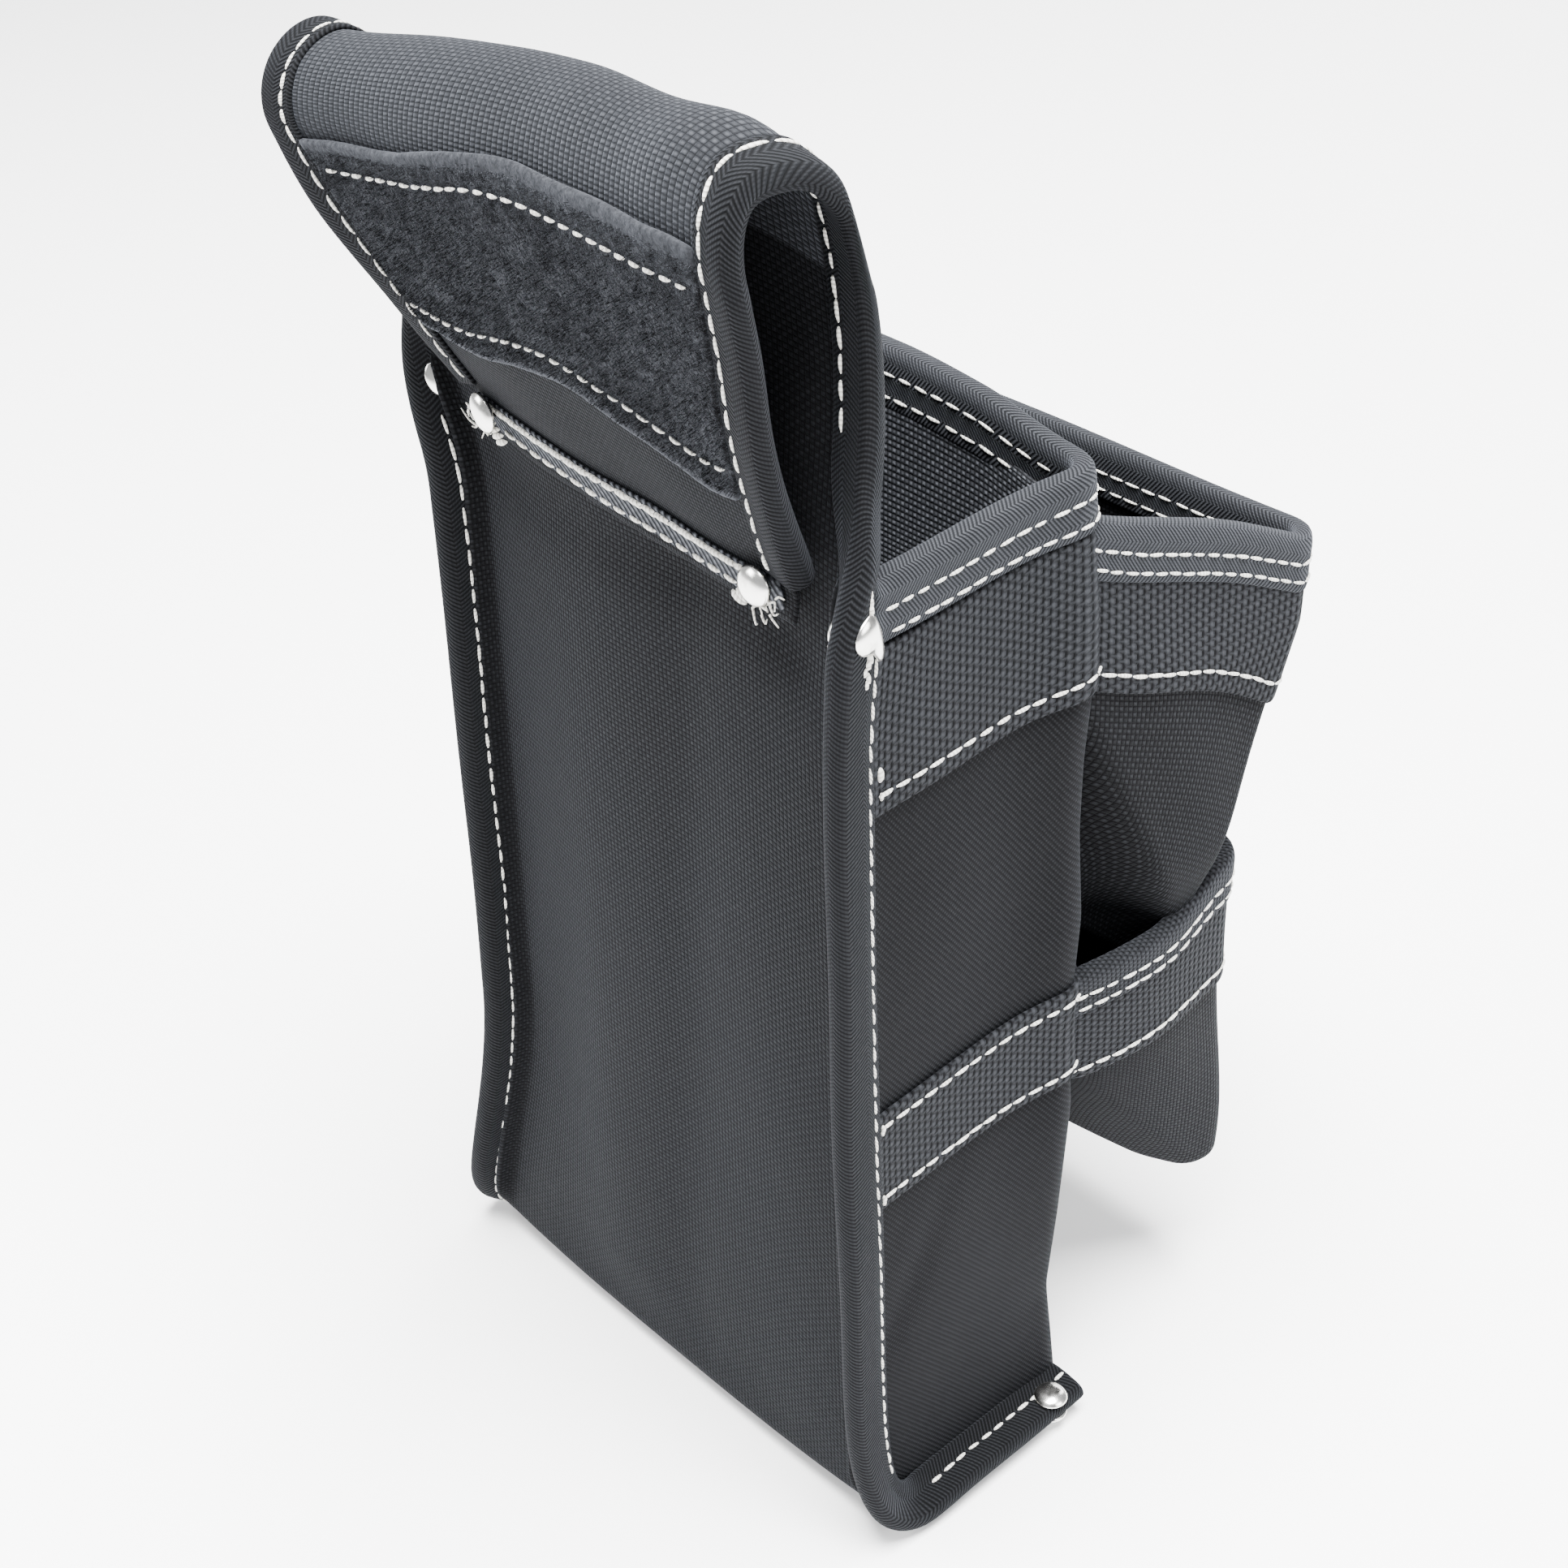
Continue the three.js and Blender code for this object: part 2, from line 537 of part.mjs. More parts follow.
for (const [name, rivet] of Object.entries(RIVETS)) {
  for (const side of SIDES) {
    add(`${name}_rivet_cap_${side}`, placed(rivetCap(), rivet, rivet.grip / 2, side), nickel);
    add(`${name}_rivet_base_${side}`, placed(rivetBase(rivet.grip), rivet, -rivet.grip / 2, side), nickel);
  }
}

export default pouch;
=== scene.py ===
"""Looks of the electrician's tool pouch: cloth, tapes, webbing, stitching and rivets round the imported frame.

Shapes are worked out in millimetres, in the frame's own axes, and become metres when a mesh is made.
A cloth surface is a function of two cloth coordinates, u across and v along, both in millimetres, and its
normal (du x dv) points to the side that shows.  Stitches are placed with the same functions.
"""
import math
from dataclasses import dataclass
from typing import Callable

import bpy
import numpy as np
from mathutils import Matrix, Vector


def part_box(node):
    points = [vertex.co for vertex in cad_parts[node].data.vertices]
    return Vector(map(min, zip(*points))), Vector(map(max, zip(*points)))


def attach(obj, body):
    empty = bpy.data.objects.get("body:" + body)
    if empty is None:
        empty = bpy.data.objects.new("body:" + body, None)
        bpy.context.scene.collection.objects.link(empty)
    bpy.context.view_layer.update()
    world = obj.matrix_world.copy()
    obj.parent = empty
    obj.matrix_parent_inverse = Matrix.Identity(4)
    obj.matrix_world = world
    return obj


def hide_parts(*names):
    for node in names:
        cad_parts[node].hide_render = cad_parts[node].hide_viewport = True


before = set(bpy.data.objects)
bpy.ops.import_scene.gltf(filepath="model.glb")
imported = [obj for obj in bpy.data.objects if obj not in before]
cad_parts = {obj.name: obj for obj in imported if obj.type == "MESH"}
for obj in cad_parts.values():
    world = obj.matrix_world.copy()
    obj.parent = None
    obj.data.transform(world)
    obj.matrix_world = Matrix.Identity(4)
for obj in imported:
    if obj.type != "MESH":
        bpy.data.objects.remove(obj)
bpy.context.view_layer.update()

MM = 0.001
BODY = "root"
random = np.random.default_rng(7)


def low(node):
    return np.array(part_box(node)[0]) / MM


def high(node):
    return np.array(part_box(node)[1]) / MM


def heights_of(node):
    return low(node)[2], high(node)[2]


# ---------------------------------------------------------------- sizes, from the frame
HALF_DEPTH = high("back_panel")[1]
PANEL_HALF = high("back_panel")[0]
BASE_FRONT = low("back_panel")[1]
WALL_HALF = high("pocket_wall")[0]
RIM = high("pocket_wall")[2]
NARROWING = 0.065 / 221             # the pouch is 6.5% narrower at a height of 221
LOOP_START = high("back_panel")[2]
LOOP_BACK = low("belt_loop_flap")[1] + 1.2
FLAP_END = low("belt_loop_flap")[2]
WIDE_BAND = heights_of("wide_webbing_band")
NARROW_BAND = heights_of("narrow_webbing_band")
END_TAPE = heights_of("flap_end_tape")
PILE = heights_of("loop_fastener_strip")
FOLD_R = 8                          # radius of the roll at the bottom of the back
FLAP_END_HALF = 45                  # half width of the flap at its end
POCKET_HALF = 66                    # half width of the front pockets where they meet the wall
WALL_FRONT = -HALF_DEPTH - 4.5      # the soft wall stands a little further forward than the CAD one
POCKET_BACK = high("upper_pocket_wall")[1]
THICK = {"strip": 1.8, "wall": 1.5, "pocket": 1.4, "band": 1.3, "tape": 1.0, "end_tape": 0.8, "seam_allowance": 0.6,
         "lining": 0.8, "board": 1.2, "pile": 1.4}
BAND_LIFT = 1.35                    # from the face of the wall to the face of a band on it


# ---------------------------------------------------------------- small maths
def mix(a, b, t):
    return a + (b - a) * t


def ease(x):
    x = np.clip(x, 0, 1)
    return x * x * (3 - 2 * x)


def bump_at(x, centre, width):
    """A smooth hill of height 1."""
    return np.exp(-(((x - centre) / width) ** 2))


def narrow(z):
    return 1 - NARROWING * z


def hang(x, y, z):
    """How much lower the left side of the wall and its bands hang."""
    most = mix(4.0, 6.5, ease((y + 30) / 50)) * ease(z / 90) * (1 - ease((y - 25) / 5)) * ease((-34 - x) / 26)
    return most * (1 - ease((-32 - y) / 45))


def settle(points):
    """How the soft pouch stands on the table.

    Its right-hand side sags in, both ends of the loop droop and lean back, and its left side hangs lower."""
    x, y, z = points[..., 0], points[..., 1], points[..., 2]
    side = ease((x - 14) / 50)
    middle = ease((z - 4) / 80) * (1 - ease((z - 212) / 46))
    near_back = ease((y + 95) / 90)
    inward = -10.5 * side * middle * near_back
    forward = -4.0 * side * middle * ease((y + 30) / 50)
    droop = 7.4 * ease((x + 14) / 84) * ease((z - 288) / 26) - 4.0 * side * ease(y / 25) * bump_at(z, 236, 26)
    # both ends of the loop lean back, and the front of its left end droops
    lean, near_end = ease((-8 - x) / 50), ease((-44 - x) / 22)
    backward = 3.5 * lean * ease((z - 274) / 38) + 5.0 * ease((x - 6) / 60) * ease((z - 270) / 45)
    backward = backward + 3.5 * ease((x - 40) / 20) * ease((y - LOOP_BACK - 4) / 6) * bump_at(z, 274, 20)
    droop = droop + (7.5 - 4.0 * ease((y - LOOP_BACK - 5) / 14)) * near_end * ease((z - 284) / 28)
    # the front half of the loop and the top of the seam are pushed forward at the left end
    until = mix(29, LOOP_BACK + 6, ease((z - 245) / 30))
    push = mix(2.0, 5.5, ease((z - 235) / 35)) * ease((z - 205) / 30) * ease((-28 - x) / 34)
    push = push * ease((y - 2) / 22) * (1 - ease((y - until) / 10))
    # the left side of the wall hangs lower, and the front of the mouth stands higher
    lower = hang(x, y, z)
    mouth = 3.5 * ease((z - 205) / 30) * ease((-16 - y) / 14) * (1 - ease((-34 - y) / 20)) * ease((62 + x) / 50)
    return np.stack([x + inward, y + forward + backward - push, z - droop - lower + mouth], -1)


def unit(vectors):
    return vectors / np.maximum(np.linalg.norm(vectors, axis=-1, keepdims=True), 1e-9)


def along(points):
    """Length along a line of points, starting at 0."""
    steps = np.linalg.norm(np.diff(points, axis=0), axis=1)
    return np.concatenate([[0], np.cumsum(steps)])


def catmull(points, count):
    """Smooth curve through points, with `count` steps between each pair."""
    p = np.array(points, float)
    p = np.vstack([2 * p[0] - p[1], p, 2 * p[-1] - p[-2]])
    t = np.linspace(0, 1, count, endpoint=False)[:, None]
    out = []
    for a, b, c, d in zip(p[:-3], p[1:-2], p[2:-1], p[3:]):
        out.append(0.5 * (2 * b + (c - a) * t + (2 * a - 5 * b + 4 * c - d) * t**2 + (3 * b - a - 3 * c + d) * t**3))
    return np.vstack([*out, p[-2:-1]])


def arc(u, v, radius, start, end, count):
    angle = np.radians(np.linspace(start, end, count))
    return np.stack([u + radius * np.cos(angle), v + radius * np.sin(angle)], 1)


def even(start, end, step):
    return np.linspace(start, end, max(2, int(round(abs(end - start) / step)) + 1))


def on_line(s, places, line):
    """Where a line is at lengths s along it; `places` are the lengths at its own points."""
    return np.stack([np.interp(s, places, line[:, k]) for k in range(line.shape[1])], -1)


def beside(s, places, line, e):
    """Unit direction to the right of a flat line at lengths s along it, judged over e either way."""
    step = on_line(s + e, places, line) - on_line(s - e, places, line)
    length = np.maximum(np.hypot(step[..., 0], step[..., 1]), 1e-9)
    return step[..., 1] / length, -step[..., 0] / length


def resample(points, step):
    """The same line with points about `step` apart."""
    s = along(points)
    return on_line(even(0, s[-1], step), s, points)


def whole_plan(half_plan):
    """A plan that is given from its left side to its middle, with its right side added, in even steps."""
    return resample(np.vstack([half_plan, (half_plan * [-1, 1])[::-1][1:]]), 0.5)


def lifted(surface, u, v, lift=0.0):
    """Points of a surface moved out along its normal, and the normals."""
    e = 0.05
    across = surface(u + e, v) - surface(u - e, v)
    onward = surface(u, v + e) - surface(u, v - e)
    normal = unit(np.cross(across, onward))
    return surface(u, v) + normal * np.asarray(lift)[..., None], normal


def spread(surface, uu, vv, lift=0.0):
    """Points of a surface over a grid of u and v, and the grid as cloth coordinates."""
    return lifted(surface, uu, vv, lift)[0], np.stack([uu, vv], -1)


def add_object(name, data):
    thing = bpy.data.objects.new(name, data)
    bpy.context.scene.collection.objects.link(thing)
    return thing


# ---------------------------------------------------------------- shader building
class Nodes:
    """Short names for building one material's nodes."""

    def __init__(self, name):
        self.material = bpy.data.materials.new(name)
        self.material.use_nodes = True
        self.tree = self.material.node_tree
        self.shader = self.tree.nodes["Principled BSDF"]

    def add(self, kind, **settings):
        node = self.tree.nodes.new(kind)
        for key, value in settings.items():
            setattr(node, key, value)
        return node

    def put(self, socket, value):
        if isinstance(value, bpy.types.NodeSocket):
            self.tree.links.new(value, socket)
        elif value is not None:
            socket.default_value = value

    def fill(self, node, values):
        for name, value in values.items():
            self.put(node.inputs[name], value)

    def math(self, operation, a, b=None, c=None, clamp=False):
        node = self.add("ShaderNodeMath", operation=operation, use_clamp=clamp)
        for socket, value in zip(node.inputs, (a, b, c)):
            self.put(socket, value)
        return node.outputs[0]

    def mul(self, a, b):
        return self.math("MULTIPLY", a, b)

    def plus(self, a, b):
        return self.math("ADD", a, b)

    def wave(self, x):
        """0 to 1, one full wave for each unit of x."""
        return self.math("MULTIPLY_ADD", self.math("SINE", self.mul(x, 2 * math.pi)), 0.5, 0.5)

    def hump(self, x, power=1.0):
        """|sin(pi x)|, one hump for each unit of x."""
        hump = self.math("ABSOLUTE", self.math("SINE", self.mul(x, math.pi)))
        return hump if power == 1.0 else self.math("POWER", hump, power)

    def noise(self, scale, detail, rough):
        node = self.add("ShaderNodeTexNoise")
        place = self.add("ShaderNodeTexCoord").outputs["Object"]
        self.fill(node, {"Vector": place, "Scale": scale, "Detail": detail, "Roughness": rough})
        return node.outputs["Fac"]

    def ramp(self, value, *stops):
        node = self.add("ShaderNodeValToRGB")
        elements = node.color_ramp.elements
        for extra in range(len(stops) - 2):
            elements.new(0.5)
        for element, (place, colour) in zip(elements, stops):
            element.position = place
            element.color = (*colour, 1)
        self.put(node.inputs["Fac"], value)
        return node.outputs["Color"]

    def cloth(self):
        """The cloth coordinates u and v of a piece, in millimetres."""
        uv = self.add("ShaderNodeUVMap", uv_map="Cloth")
        split = self.add("ShaderNodeSeparateXYZ")
        self.put(split.inputs[0], uv.outputs["UV"])
        return split.outputs["X"], split.outputs["Y"]

    def finish(self, colour, height, depth_mm, roughness, sheen=0.0, sheen_rough=0.5, specular=0.05):
        bump = self.add("ShaderNodeBump")
        self.fill(bump, {"Strength": 1.0, "Distance": depth_mm * MM, "Height": height})
        self.fill(self.shader, {
            "Normal": bump.outputs["Normal"], "Base Color": colour, "Roughness": roughness,
            "Specular IOR Level": specular, "Sheen Weight": sheen, "Sheen Roughness": sheen_rough,
            "Sheen Tint": (0.8, 0.86, 1.0, 1)})
        return self.material


def plain_weave(n, u, v, pitch_u, pitch_v):
    """Even over-and-under weave: a bump at each crossing, warp bumps a little higher."""
    warp = n.math("SINE", n.mul(u, math.pi / pitch_u))
    weft = n.math("SINE", n.mul(v, math.pi / pitch_v))
    crossing = n.mul(warp, weft)
    bump = n.math("POWER", n.math("ABSOLUTE", crossing), 0.6)
    return n.mul(bump, n.math("MULTIPLY_ADD", n.math("SIGN", crossing), 0.14, 0.86))


def basket_weave(n, u, v, pitch):
    """Coarse webbing: upright ribs that touch at every other row, with low pits between them that the colour paints
    dark as shade.
    """
    a = n.mul(u, 1 / pitch)
    b = n.mul(v, 1 / (pitch * 1.15))
    rib_wave = n.wave(n.plus(b, n.mul(n.math("FLOOR", a), 0.5)))
    rib = n.mul(n.hump(a, 0.6), n.math("MULTIPLY_ADD", rib_wave, 0.35, 0.62))
    bridge_wave = n.wave(n.plus(b, n.mul(n.math("FLOOR", n.plus(a, 0.5)), 0.5)))
    bridge = n.mul(n.math("POWER", bridge_wave, 1.1), 0.74)
    return n.math("SMOOTH_MAX", rib, bridge, 0.12)


def turned_basket_weave(n, u, v, pitch):
    return basket_weave(n, v, u, pitch)


def twill(n, u, v, slope, pitch):
    """Slanting ribs with fine crossings along them."""
    run = n.plus(n.mul(u, math.sin(slope) / pitch), n.mul(v, math.cos(slope) / pitch))
    cross = n.plus(n.mul(u, math.cos(slope) / (pitch * 0.8)), n.mul(v, -math.sin(slope) / (pitch * 0.8)))
    return n.mul(n.math("POWER", n.wave(run), 0.8), n.math("MULTIPLY_ADD", n.wave(cross), 0.3, 0.7))


def herringbone(n, u, v, pitch, column):
    """Twill that turns back at each column: u runs across the tape."""
    fold = n.math("PINGPONG", u, column)
    run = n.plus(n.mul(v, 1 / pitch), n.mul(fold, 0.8 / pitch))
    return n.mul(n.math("POWER", n.wave(run), 0.8), n.math("MULTIPLY_ADD", n.hump(n.mul(fold, 1 / 0.55)), 0.25, 0.75))


def shade(grey):
    """A slightly blue charcoal."""
    return (grey * 0.95, grey, grey * 1.13)


FUZZ = 0.12                         # how much loose fibres count beside the weave


def woven(name, weave, size, greys, depth_mm, sheen, roughness=(0.75, 0.95), mottle=0.25, mid=0.28):
    """Woven cloth: painted shade between the threads, lighter on them, with soft mottling, worn haze and loose fibres.
    """
    n = Nodes(name)
    height = weave(n, *n.cloth(), *size)
    dark, light = shade(greys[0]), shade(greys[1])
    patches = n.noise(28, 3, 0.55)
    fibres = n.noise(2600, 2, 0.6)
    grain = n.noise(420, 3, 0.65)
    value = n.math("MULTIPLY_ADD", height, 1.0 - FUZZ, n.mul(fibres, FUZZ))
    value = n.plus(value, n.math("MULTIPLY_ADD", patches, mottle, -mottle / 2))
    value = n.math("ADD", value, n.math("MULTIPLY_ADD", grain, mottle, -mottle / 2), clamp=True)
    middle = tuple(mix(np.array(dark), np.array(light), mid))
    # painted shade: the low places of the weave are dark and the thread crowns light
    colour = n.ramp(value, (0.0, dark), (0.55, middle), (1.0, light))
    rough = n.math("MULTIPLY_ADD", patches, roughness[1] - roughness[0], roughness[0])
    relief = n.plus(height, n.mul(fibres, 0.25))
    return n.finish(colour, relief, depth_mm, rough, sheen)


PLAIN_TWILL, STEEP_TWILL = math.radians(53), math.radians(58)
canvas = woven("canvas", plain_weave, (1.1, 1.04), (0.0006, 0.0112), 0.2, 0.03, mottle=0.35, mid=0.16)
# a lighter copy of the canvas for the belt loop: painted light where the top light falls on it
loop_canvas_painted_light = woven("loop_canvas_painted_light", plain_weave, (1.5, 0.86), (0.0006, 0.028), 0.3, 0.08)
wall_canvas = woven("wall_canvas", twill, (PLAIN_TWILL, 1.0), (0.0002, 0.0078), 0.18, 0.02, mid=0.16)
pocket_canvas = woven("pocket_canvas", plain_weave, (1.1, 1.05), (0.0002, 0.0135), 0.24, 0.02, mid=0.1)
webbing = woven("webbing", basket_weave, (1.75,), (0.0001, 0.027), 0.7, 0.02, mottle=0.1, mid=0.1)
binding = woven("binding", herringbone, (0.95, 3.2), (0.0003, 0.0105), 0.2, 0.03)
# a lighter copy of the binding for the rims: painted light where light falls from above
rim_binding = woven("rim_binding", herringbone, (0.95, 3.2), (0.0006, 0.034), 0.22, 0.06)
coarse_binding = woven("coarse_binding", turned_basket_weave, (1.15,), (0.0004, 0.022), 0.35, 0.04, mid=0.16)
# painted light: the end tape is much lighter than the other tapes, to make up for the shade it faces down into
ribbed_tape = woven("ribbed_tape", twill, (STEEP_TWILL, 2.1), (0.0008, 0.12), 0.7, 0.04, mid=0.3)
lining = woven("lining", plain_weave, (1.25, 1.15), (0.0005, 0.10), 0.3, 0.02, roughness=(0.45, 0.65))


def pile_material():
    """Brushed loops: fine bright tips over near black, in soft clumps."""
    n = Nodes("pile")
    tips = n.noise(1500, 3, 0.75)
    clumps = n.noise(230, 4, 0.6)
    value = n.math("MULTIPLY_ADD", n.math("SUBTRACT", tips, 0.5), 1.9, clumps, clamp=True)
    colour = n.ramp(value, (0.25, shade(0.0006)), (0.55, shade(0.007)), (0.95, shade(0.040)))
    return n.finish(colour, n.plus(tips, clumps), 0.5, 0.95, sheen=0.12, sheen_rough=0.4)


def pile_edge_material():
    """The pile strip's brushed selvedge, paler than the pile."""
    n = Nodes("pile_edge")
    tips = n.noise(1100, 3, 0.7)
    colour = n.ramp(tips, (0.3, shade(0.005)), (0.7, shade(0.030)))
    return n.finish(colour, tips, 0.25, 0.95, sheen=0.15, sheen_rough=0.4)


def thread_material():
    """Thick off-white thread of two twisted strands, with painted shade in the grooves between them and a little
    grubby mottling.
    """
    n = Nodes("thread")
    u, v = n.cloth()
    twist = n.hump(n.plus(n.mul(v, 1 / 0.85), n.mul(u, 0.8)), 0.6)
    dirt = n.noise(160, 3, 0.6)
    value = n.math("MULTIPLY_ADD", n.math("SUBTRACT", dirt, 0.5), 0.5, twist, clamp=True)
    # painted shade in the grooves between the strands; the noise adds grubby mottling
    colour = n.ramp(value, (0.0, (0.20, 0.19, 0.165)), (0.45, (0.42, 0.405, 0.365)), (1.0, (0.60, 0.59, 0.55)))
    return n.finish(colour, twist, 0.14, 0.62, sheen=0.1, specular=0.25)


def nickel_material():
    """Polished nickel plate with faint scratches and dull spots."""
    n = Nodes("nickel")
    spots = n.noise(420, 4, 0.6)
    scratches = n.noise(1900, 2, 0.5)
    colour = n.ramp(spots, (0.3, (0.50, 0.49, 0.46)), (0.5, (0.74, 0.73, 0.70)), (0.8, (0.82, 0.81, 0.79)))
    rough = n.math("MULTIPLY_ADD", spots, 0.28, 0.08)
    n.shader.inputs["Metallic"].default_value = 1.0
    return n.finish(colour, scratches, 0.01, rough, specular=0.5)


def board_material():
    """Dark, faintly grained board."""
    n = Nodes("board")
    grain = n.noise(900, 3, 0.6)
    colour = n.ramp(grain, (0.3, shade(0.003)), (0.7, shade(0.009)))
    return n.finish(colour, grain, 0.05, 0.5)


pile_cloth = pile_material()
pile_edge = pile_edge_material()
thread_look = thread_material()
nickel = nickel_material()
board = board_material()


# ---------------------------------------------------------------- making pieces
def make_mesh(name, points, faces, uv, material):
    """A piece from points in mm, with cloth coordinates for each corner of each face."""
    mesh = bpy.data.meshes.new(name)
    mesh.from_pydata((settle(points) * MM).tolist(), [], faces.tolist())
    layer = mesh.uv_layers.new(name="Cloth")
    layer.data.foreach_set("uv", uv[faces.ravel()].astype(np.float32).ravel())
    mesh.polygons.foreach_set("use_smooth", np.ones(len(faces), bool))
    mesh.materials.append(material)
    mesh.update()
    piece = add_object(name, mesh)
    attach(piece, BODY)
    return piece


def grid_faces(rows, columns):
    i, j = np.meshgrid(np.arange(rows - 1), np.arange(columns - 1), indexing="ij")
    a = (i * columns + j).ravel()
    return np.stack([a, a + 1, a + columns + 1, a + columns], 1)


def cloth(name, points, uv, thickness, material, slot, offset=-1.0):
    """A piece of cloth from a grid of points, rows along v and columns along u."""
    rows, columns = points.shape[:2]
    piece = make_mesh(name, points.reshape(-1, 3), grid_faces(rows, columns), uv.reshape(-1, 2), material)
    solid = piece.modifiers.new("thickness", "SOLIDIFY")
    solid.thickness = thickness * MM
    solid.offset = offset
    solid.use_even_offset = False
    rounded = piece.modifiers.new("smooth", "SUBSURF")
    rounded.levels = rounded.render_levels = 1
    return piece


def mark_faces(piece, material, marked):
    """Give a piece a second material on the marked faces of its grid."""
    piece.data.materials.append(material)
    piece.data.polygons.foreach_set("material_index", marked.ravel().astype(np.int32))


def tape_frames(roots, outs):
    """Directions out and to the side all along a tape; side is the tape's direction crossed with out."""
    onward = unit(np.gradient(roots, axis=0))
    sides = unit(np.cross(onward, unit(outs)))
    return np.cross(sides, onward), sides


def tape(name, roots, outs, profile, thickness, material, slot, mirrored):
    """Tape folded along a line.  The profile is (out, side) in mm, from the near leg over the tip to the far leg."""
    outs, sides = tape_frames(roots, outs)
    profiles = np.broadcast_to(profile, (len(roots), *profile.shape[-2:]))
    points = roots[:, None] + outs[:, None] * profiles[:, :, :1] + sides[:, None] * profiles[:, :, 1:]
    uv = np.stack(np.meshgrid(along(profiles[0]), along(roots)), -1)
    if mirrored:
        points, uv = (points * [-1, 1, 1])[:, ::-1], uv[:, ::-1]
    return cloth(name, points, uv, thickness, material, slot)


def folded_tape(name, surface, u, edge, profile, material):
    """Tape folded over the top edge of a wall.  The profile is (above the edge, out of the wall) in mm."""
    uu, rise = np.meshgrid(u, profile[:, 0], indexing="ij")
    points, _ = lifted(surface, uu, edge + rise + 0.3 * np.sin(uu / 17), profile[:, 1])
    uv = np.stack(np.meshgrid(along(profile), u), -1)
    return cloth(name, points, uv, THICK["tape"], material, "binding_tape")


# ---------------------------------------------------------------- stitching
STITCH_PITCH, STITCH, THREAD = 4.4, 3.7, 0.76      # from stitch to stitch, one stitch, and its thickness


class Thread:
    """Rows of stitches that become one piece."""

    def __init__(self):
        self.points, self.faces, self.uv, self.count = [], [], [], 0

    def tube(self, line, normals, widths, flat=0.8, sides=8):
        """A closed rounded tube along a line of points."""
        tangent = unit(np.gradient(line, axis=0))
        across = unit(np.cross(tangent, normals))
        up = np.cross(across, tangent)
        angle = np.linspace(0, 2 * math.pi, sides, endpoint=False)
        ring = across[:, None] * np.cos(angle)[None, :, None] + up[:, None] * np.sin(angle)[None, :, None] * flat
        points = line[:, None] + ring * widths[:, None, None] / 2
        place = along(line)
        uv = np.stack(np.meshgrid(angle / (2 * math.pi), place), -1)
        rows = len(line)
        i, j = np.meshgrid(np.arange(rows - 1), np.arange(sides), indexing="ij")
        a = self.count + (i * sides + j).ravel()
        b = self.count + (i * sides + (j + 1) % sides).ravel()
        self.faces.append(np.stack([a, b, b + sides, a + sides], 1))
        self.points.append(points.reshape(-1, 3))
        self.uv.append(uv.reshape(-1, 2))
        self.count += rows * sides

    def stitch(self, start, end, normal, width, rise):
        """One stitch, pulled into the cloth at both ends."""
        s = np.array([0.0, 0.06, 0.22, 0.5, 0.78, 0.94, 1.0])
        line = start + (end - start) * s[:, None] + normal * (rise * (1 - (2 * s - 1) ** 4) - 0.22)[:, None]
        widths = width * np.array([0.15, 0.52, 0.85, 1.0, 0.85, 0.52, 0.15])
        self.tube(line, np.repeat(normal[None], len(s), 0), widths)

    def row(self, line, normals, width=THREAD, pitch=STITCH_PITCH, stitch=STITCH, rise=0.28, start=0.6):
        """Stitches along a line that lies on the cloth."""
        s = along(line)
        place = start
        while place + stitch < s[-1]:
            length = stitch * (1 + 0.07 * random.standard_normal())
            ends = on_line([place, place + length], s, line)
            normal = unit(on_line(place + length / 2, s, normals))
            across = np.cross(normal, unit(ends[1] - ends[0]))
            ends += across * 0.07 * random.standard_normal((2, 1))
            self.stitch(ends[0], ends[1], normal, width * (1 + 0.06 * random.standard_normal()), rise)
            place += pitch * (1 + 0.03 * random.standard_normal())

    def on(self, surface, u, v, lift=0.0, **settings):
        """A row on a surface, along matching arrays of u and v."""
        u, v = np.broadcast_arrays(np.asarray(u, float), np.asarray(v, float))
        line, normals = lifted(surface, u, v, lift)
        self.row(line, normals, **settings)

    def strand(self, points, width):
        """A loose end of thread."""
        line = catmull(points, 5)
        normals = np.repeat([[0.3, 0.5, 0.8]], len(line), 0)
        self.tube(line, normals, width * np.linspace(1, 0.55, len(line)), flat=1.0, sides=6)

    def make(self, name):
        make_mesh(name, np.vstack(self.points), np.vstack(self.faces), np.vstack(self.uv), thread_look)


# ---------------------------------------------------------------- camera, floor and lights
def set_camera():
    """The camera stands behind the pouch, on its left, and looks down on it."""
    place, lens = (-0.31636, 0.27402, 0.43610), 55.8
    azimuth, elevation, roll = math.radians(227.939), math.radians(34.092), math.radians(-1.5107)
    back = Vector((math.sin(azimuth) * math.cos(elevation), -math.cos(azimuth) * math.cos(elevation),
                   math.sin(elevation)))
    right = (-back).cross(Vector((0, 0, 1))).normalized()
    up = right.cross(-back)
    rolled_right = right * math.cos(roll) + up * math.sin(roll)
    rolled_up = up * math.cos(roll) - right * math.sin(roll)
    camera = add_object("camera", bpy.data.cameras.new("camera"))
    turn = Matrix((rolled_right, rolled_up, back)).transposed()
    camera.matrix_world = Matrix.Translation(place) @ turn.to_4x4()
    camera.data.sensor_width = 36
    camera.data.lens = lens
    bpy.context.scene.camera = camera


def set_floor():
    size = 6.0
    mesh = bpy.data.meshes.new("floor")
    mesh.from_pydata([(-size, -size, 0), (size, -size, 0), (size, size, 0), (-size, size, 0)], [], [(0, 1, 2, 3)])
    material = bpy.data.materials.new("floor")
    material.use_nodes = True
    shader = material.node_tree.nodes["Principled BSDF"]
    shader.inputs["Base Color"].default_value = (0.93, 0.93, 0.93, 1)
    shader.inputs["Roughness"].default_value = 0.9
    mesh.materials.append(material)
    add_object("floor", mesh)


def set_light(name, place, size, power):
    """A square light that points at the middle of the pouch."""
    light = add_object(name, bpy.data.lights.new(name, "AREA"))
    light.data.shape = "SQUARE"
    light.data.size = size
    light.data.energy = power
    light.location = place
    light.rotation_euler = (Vector((0, 0, 0.15)) - Vector(place)).to_track_quat("-Z", "Y").to_euler()


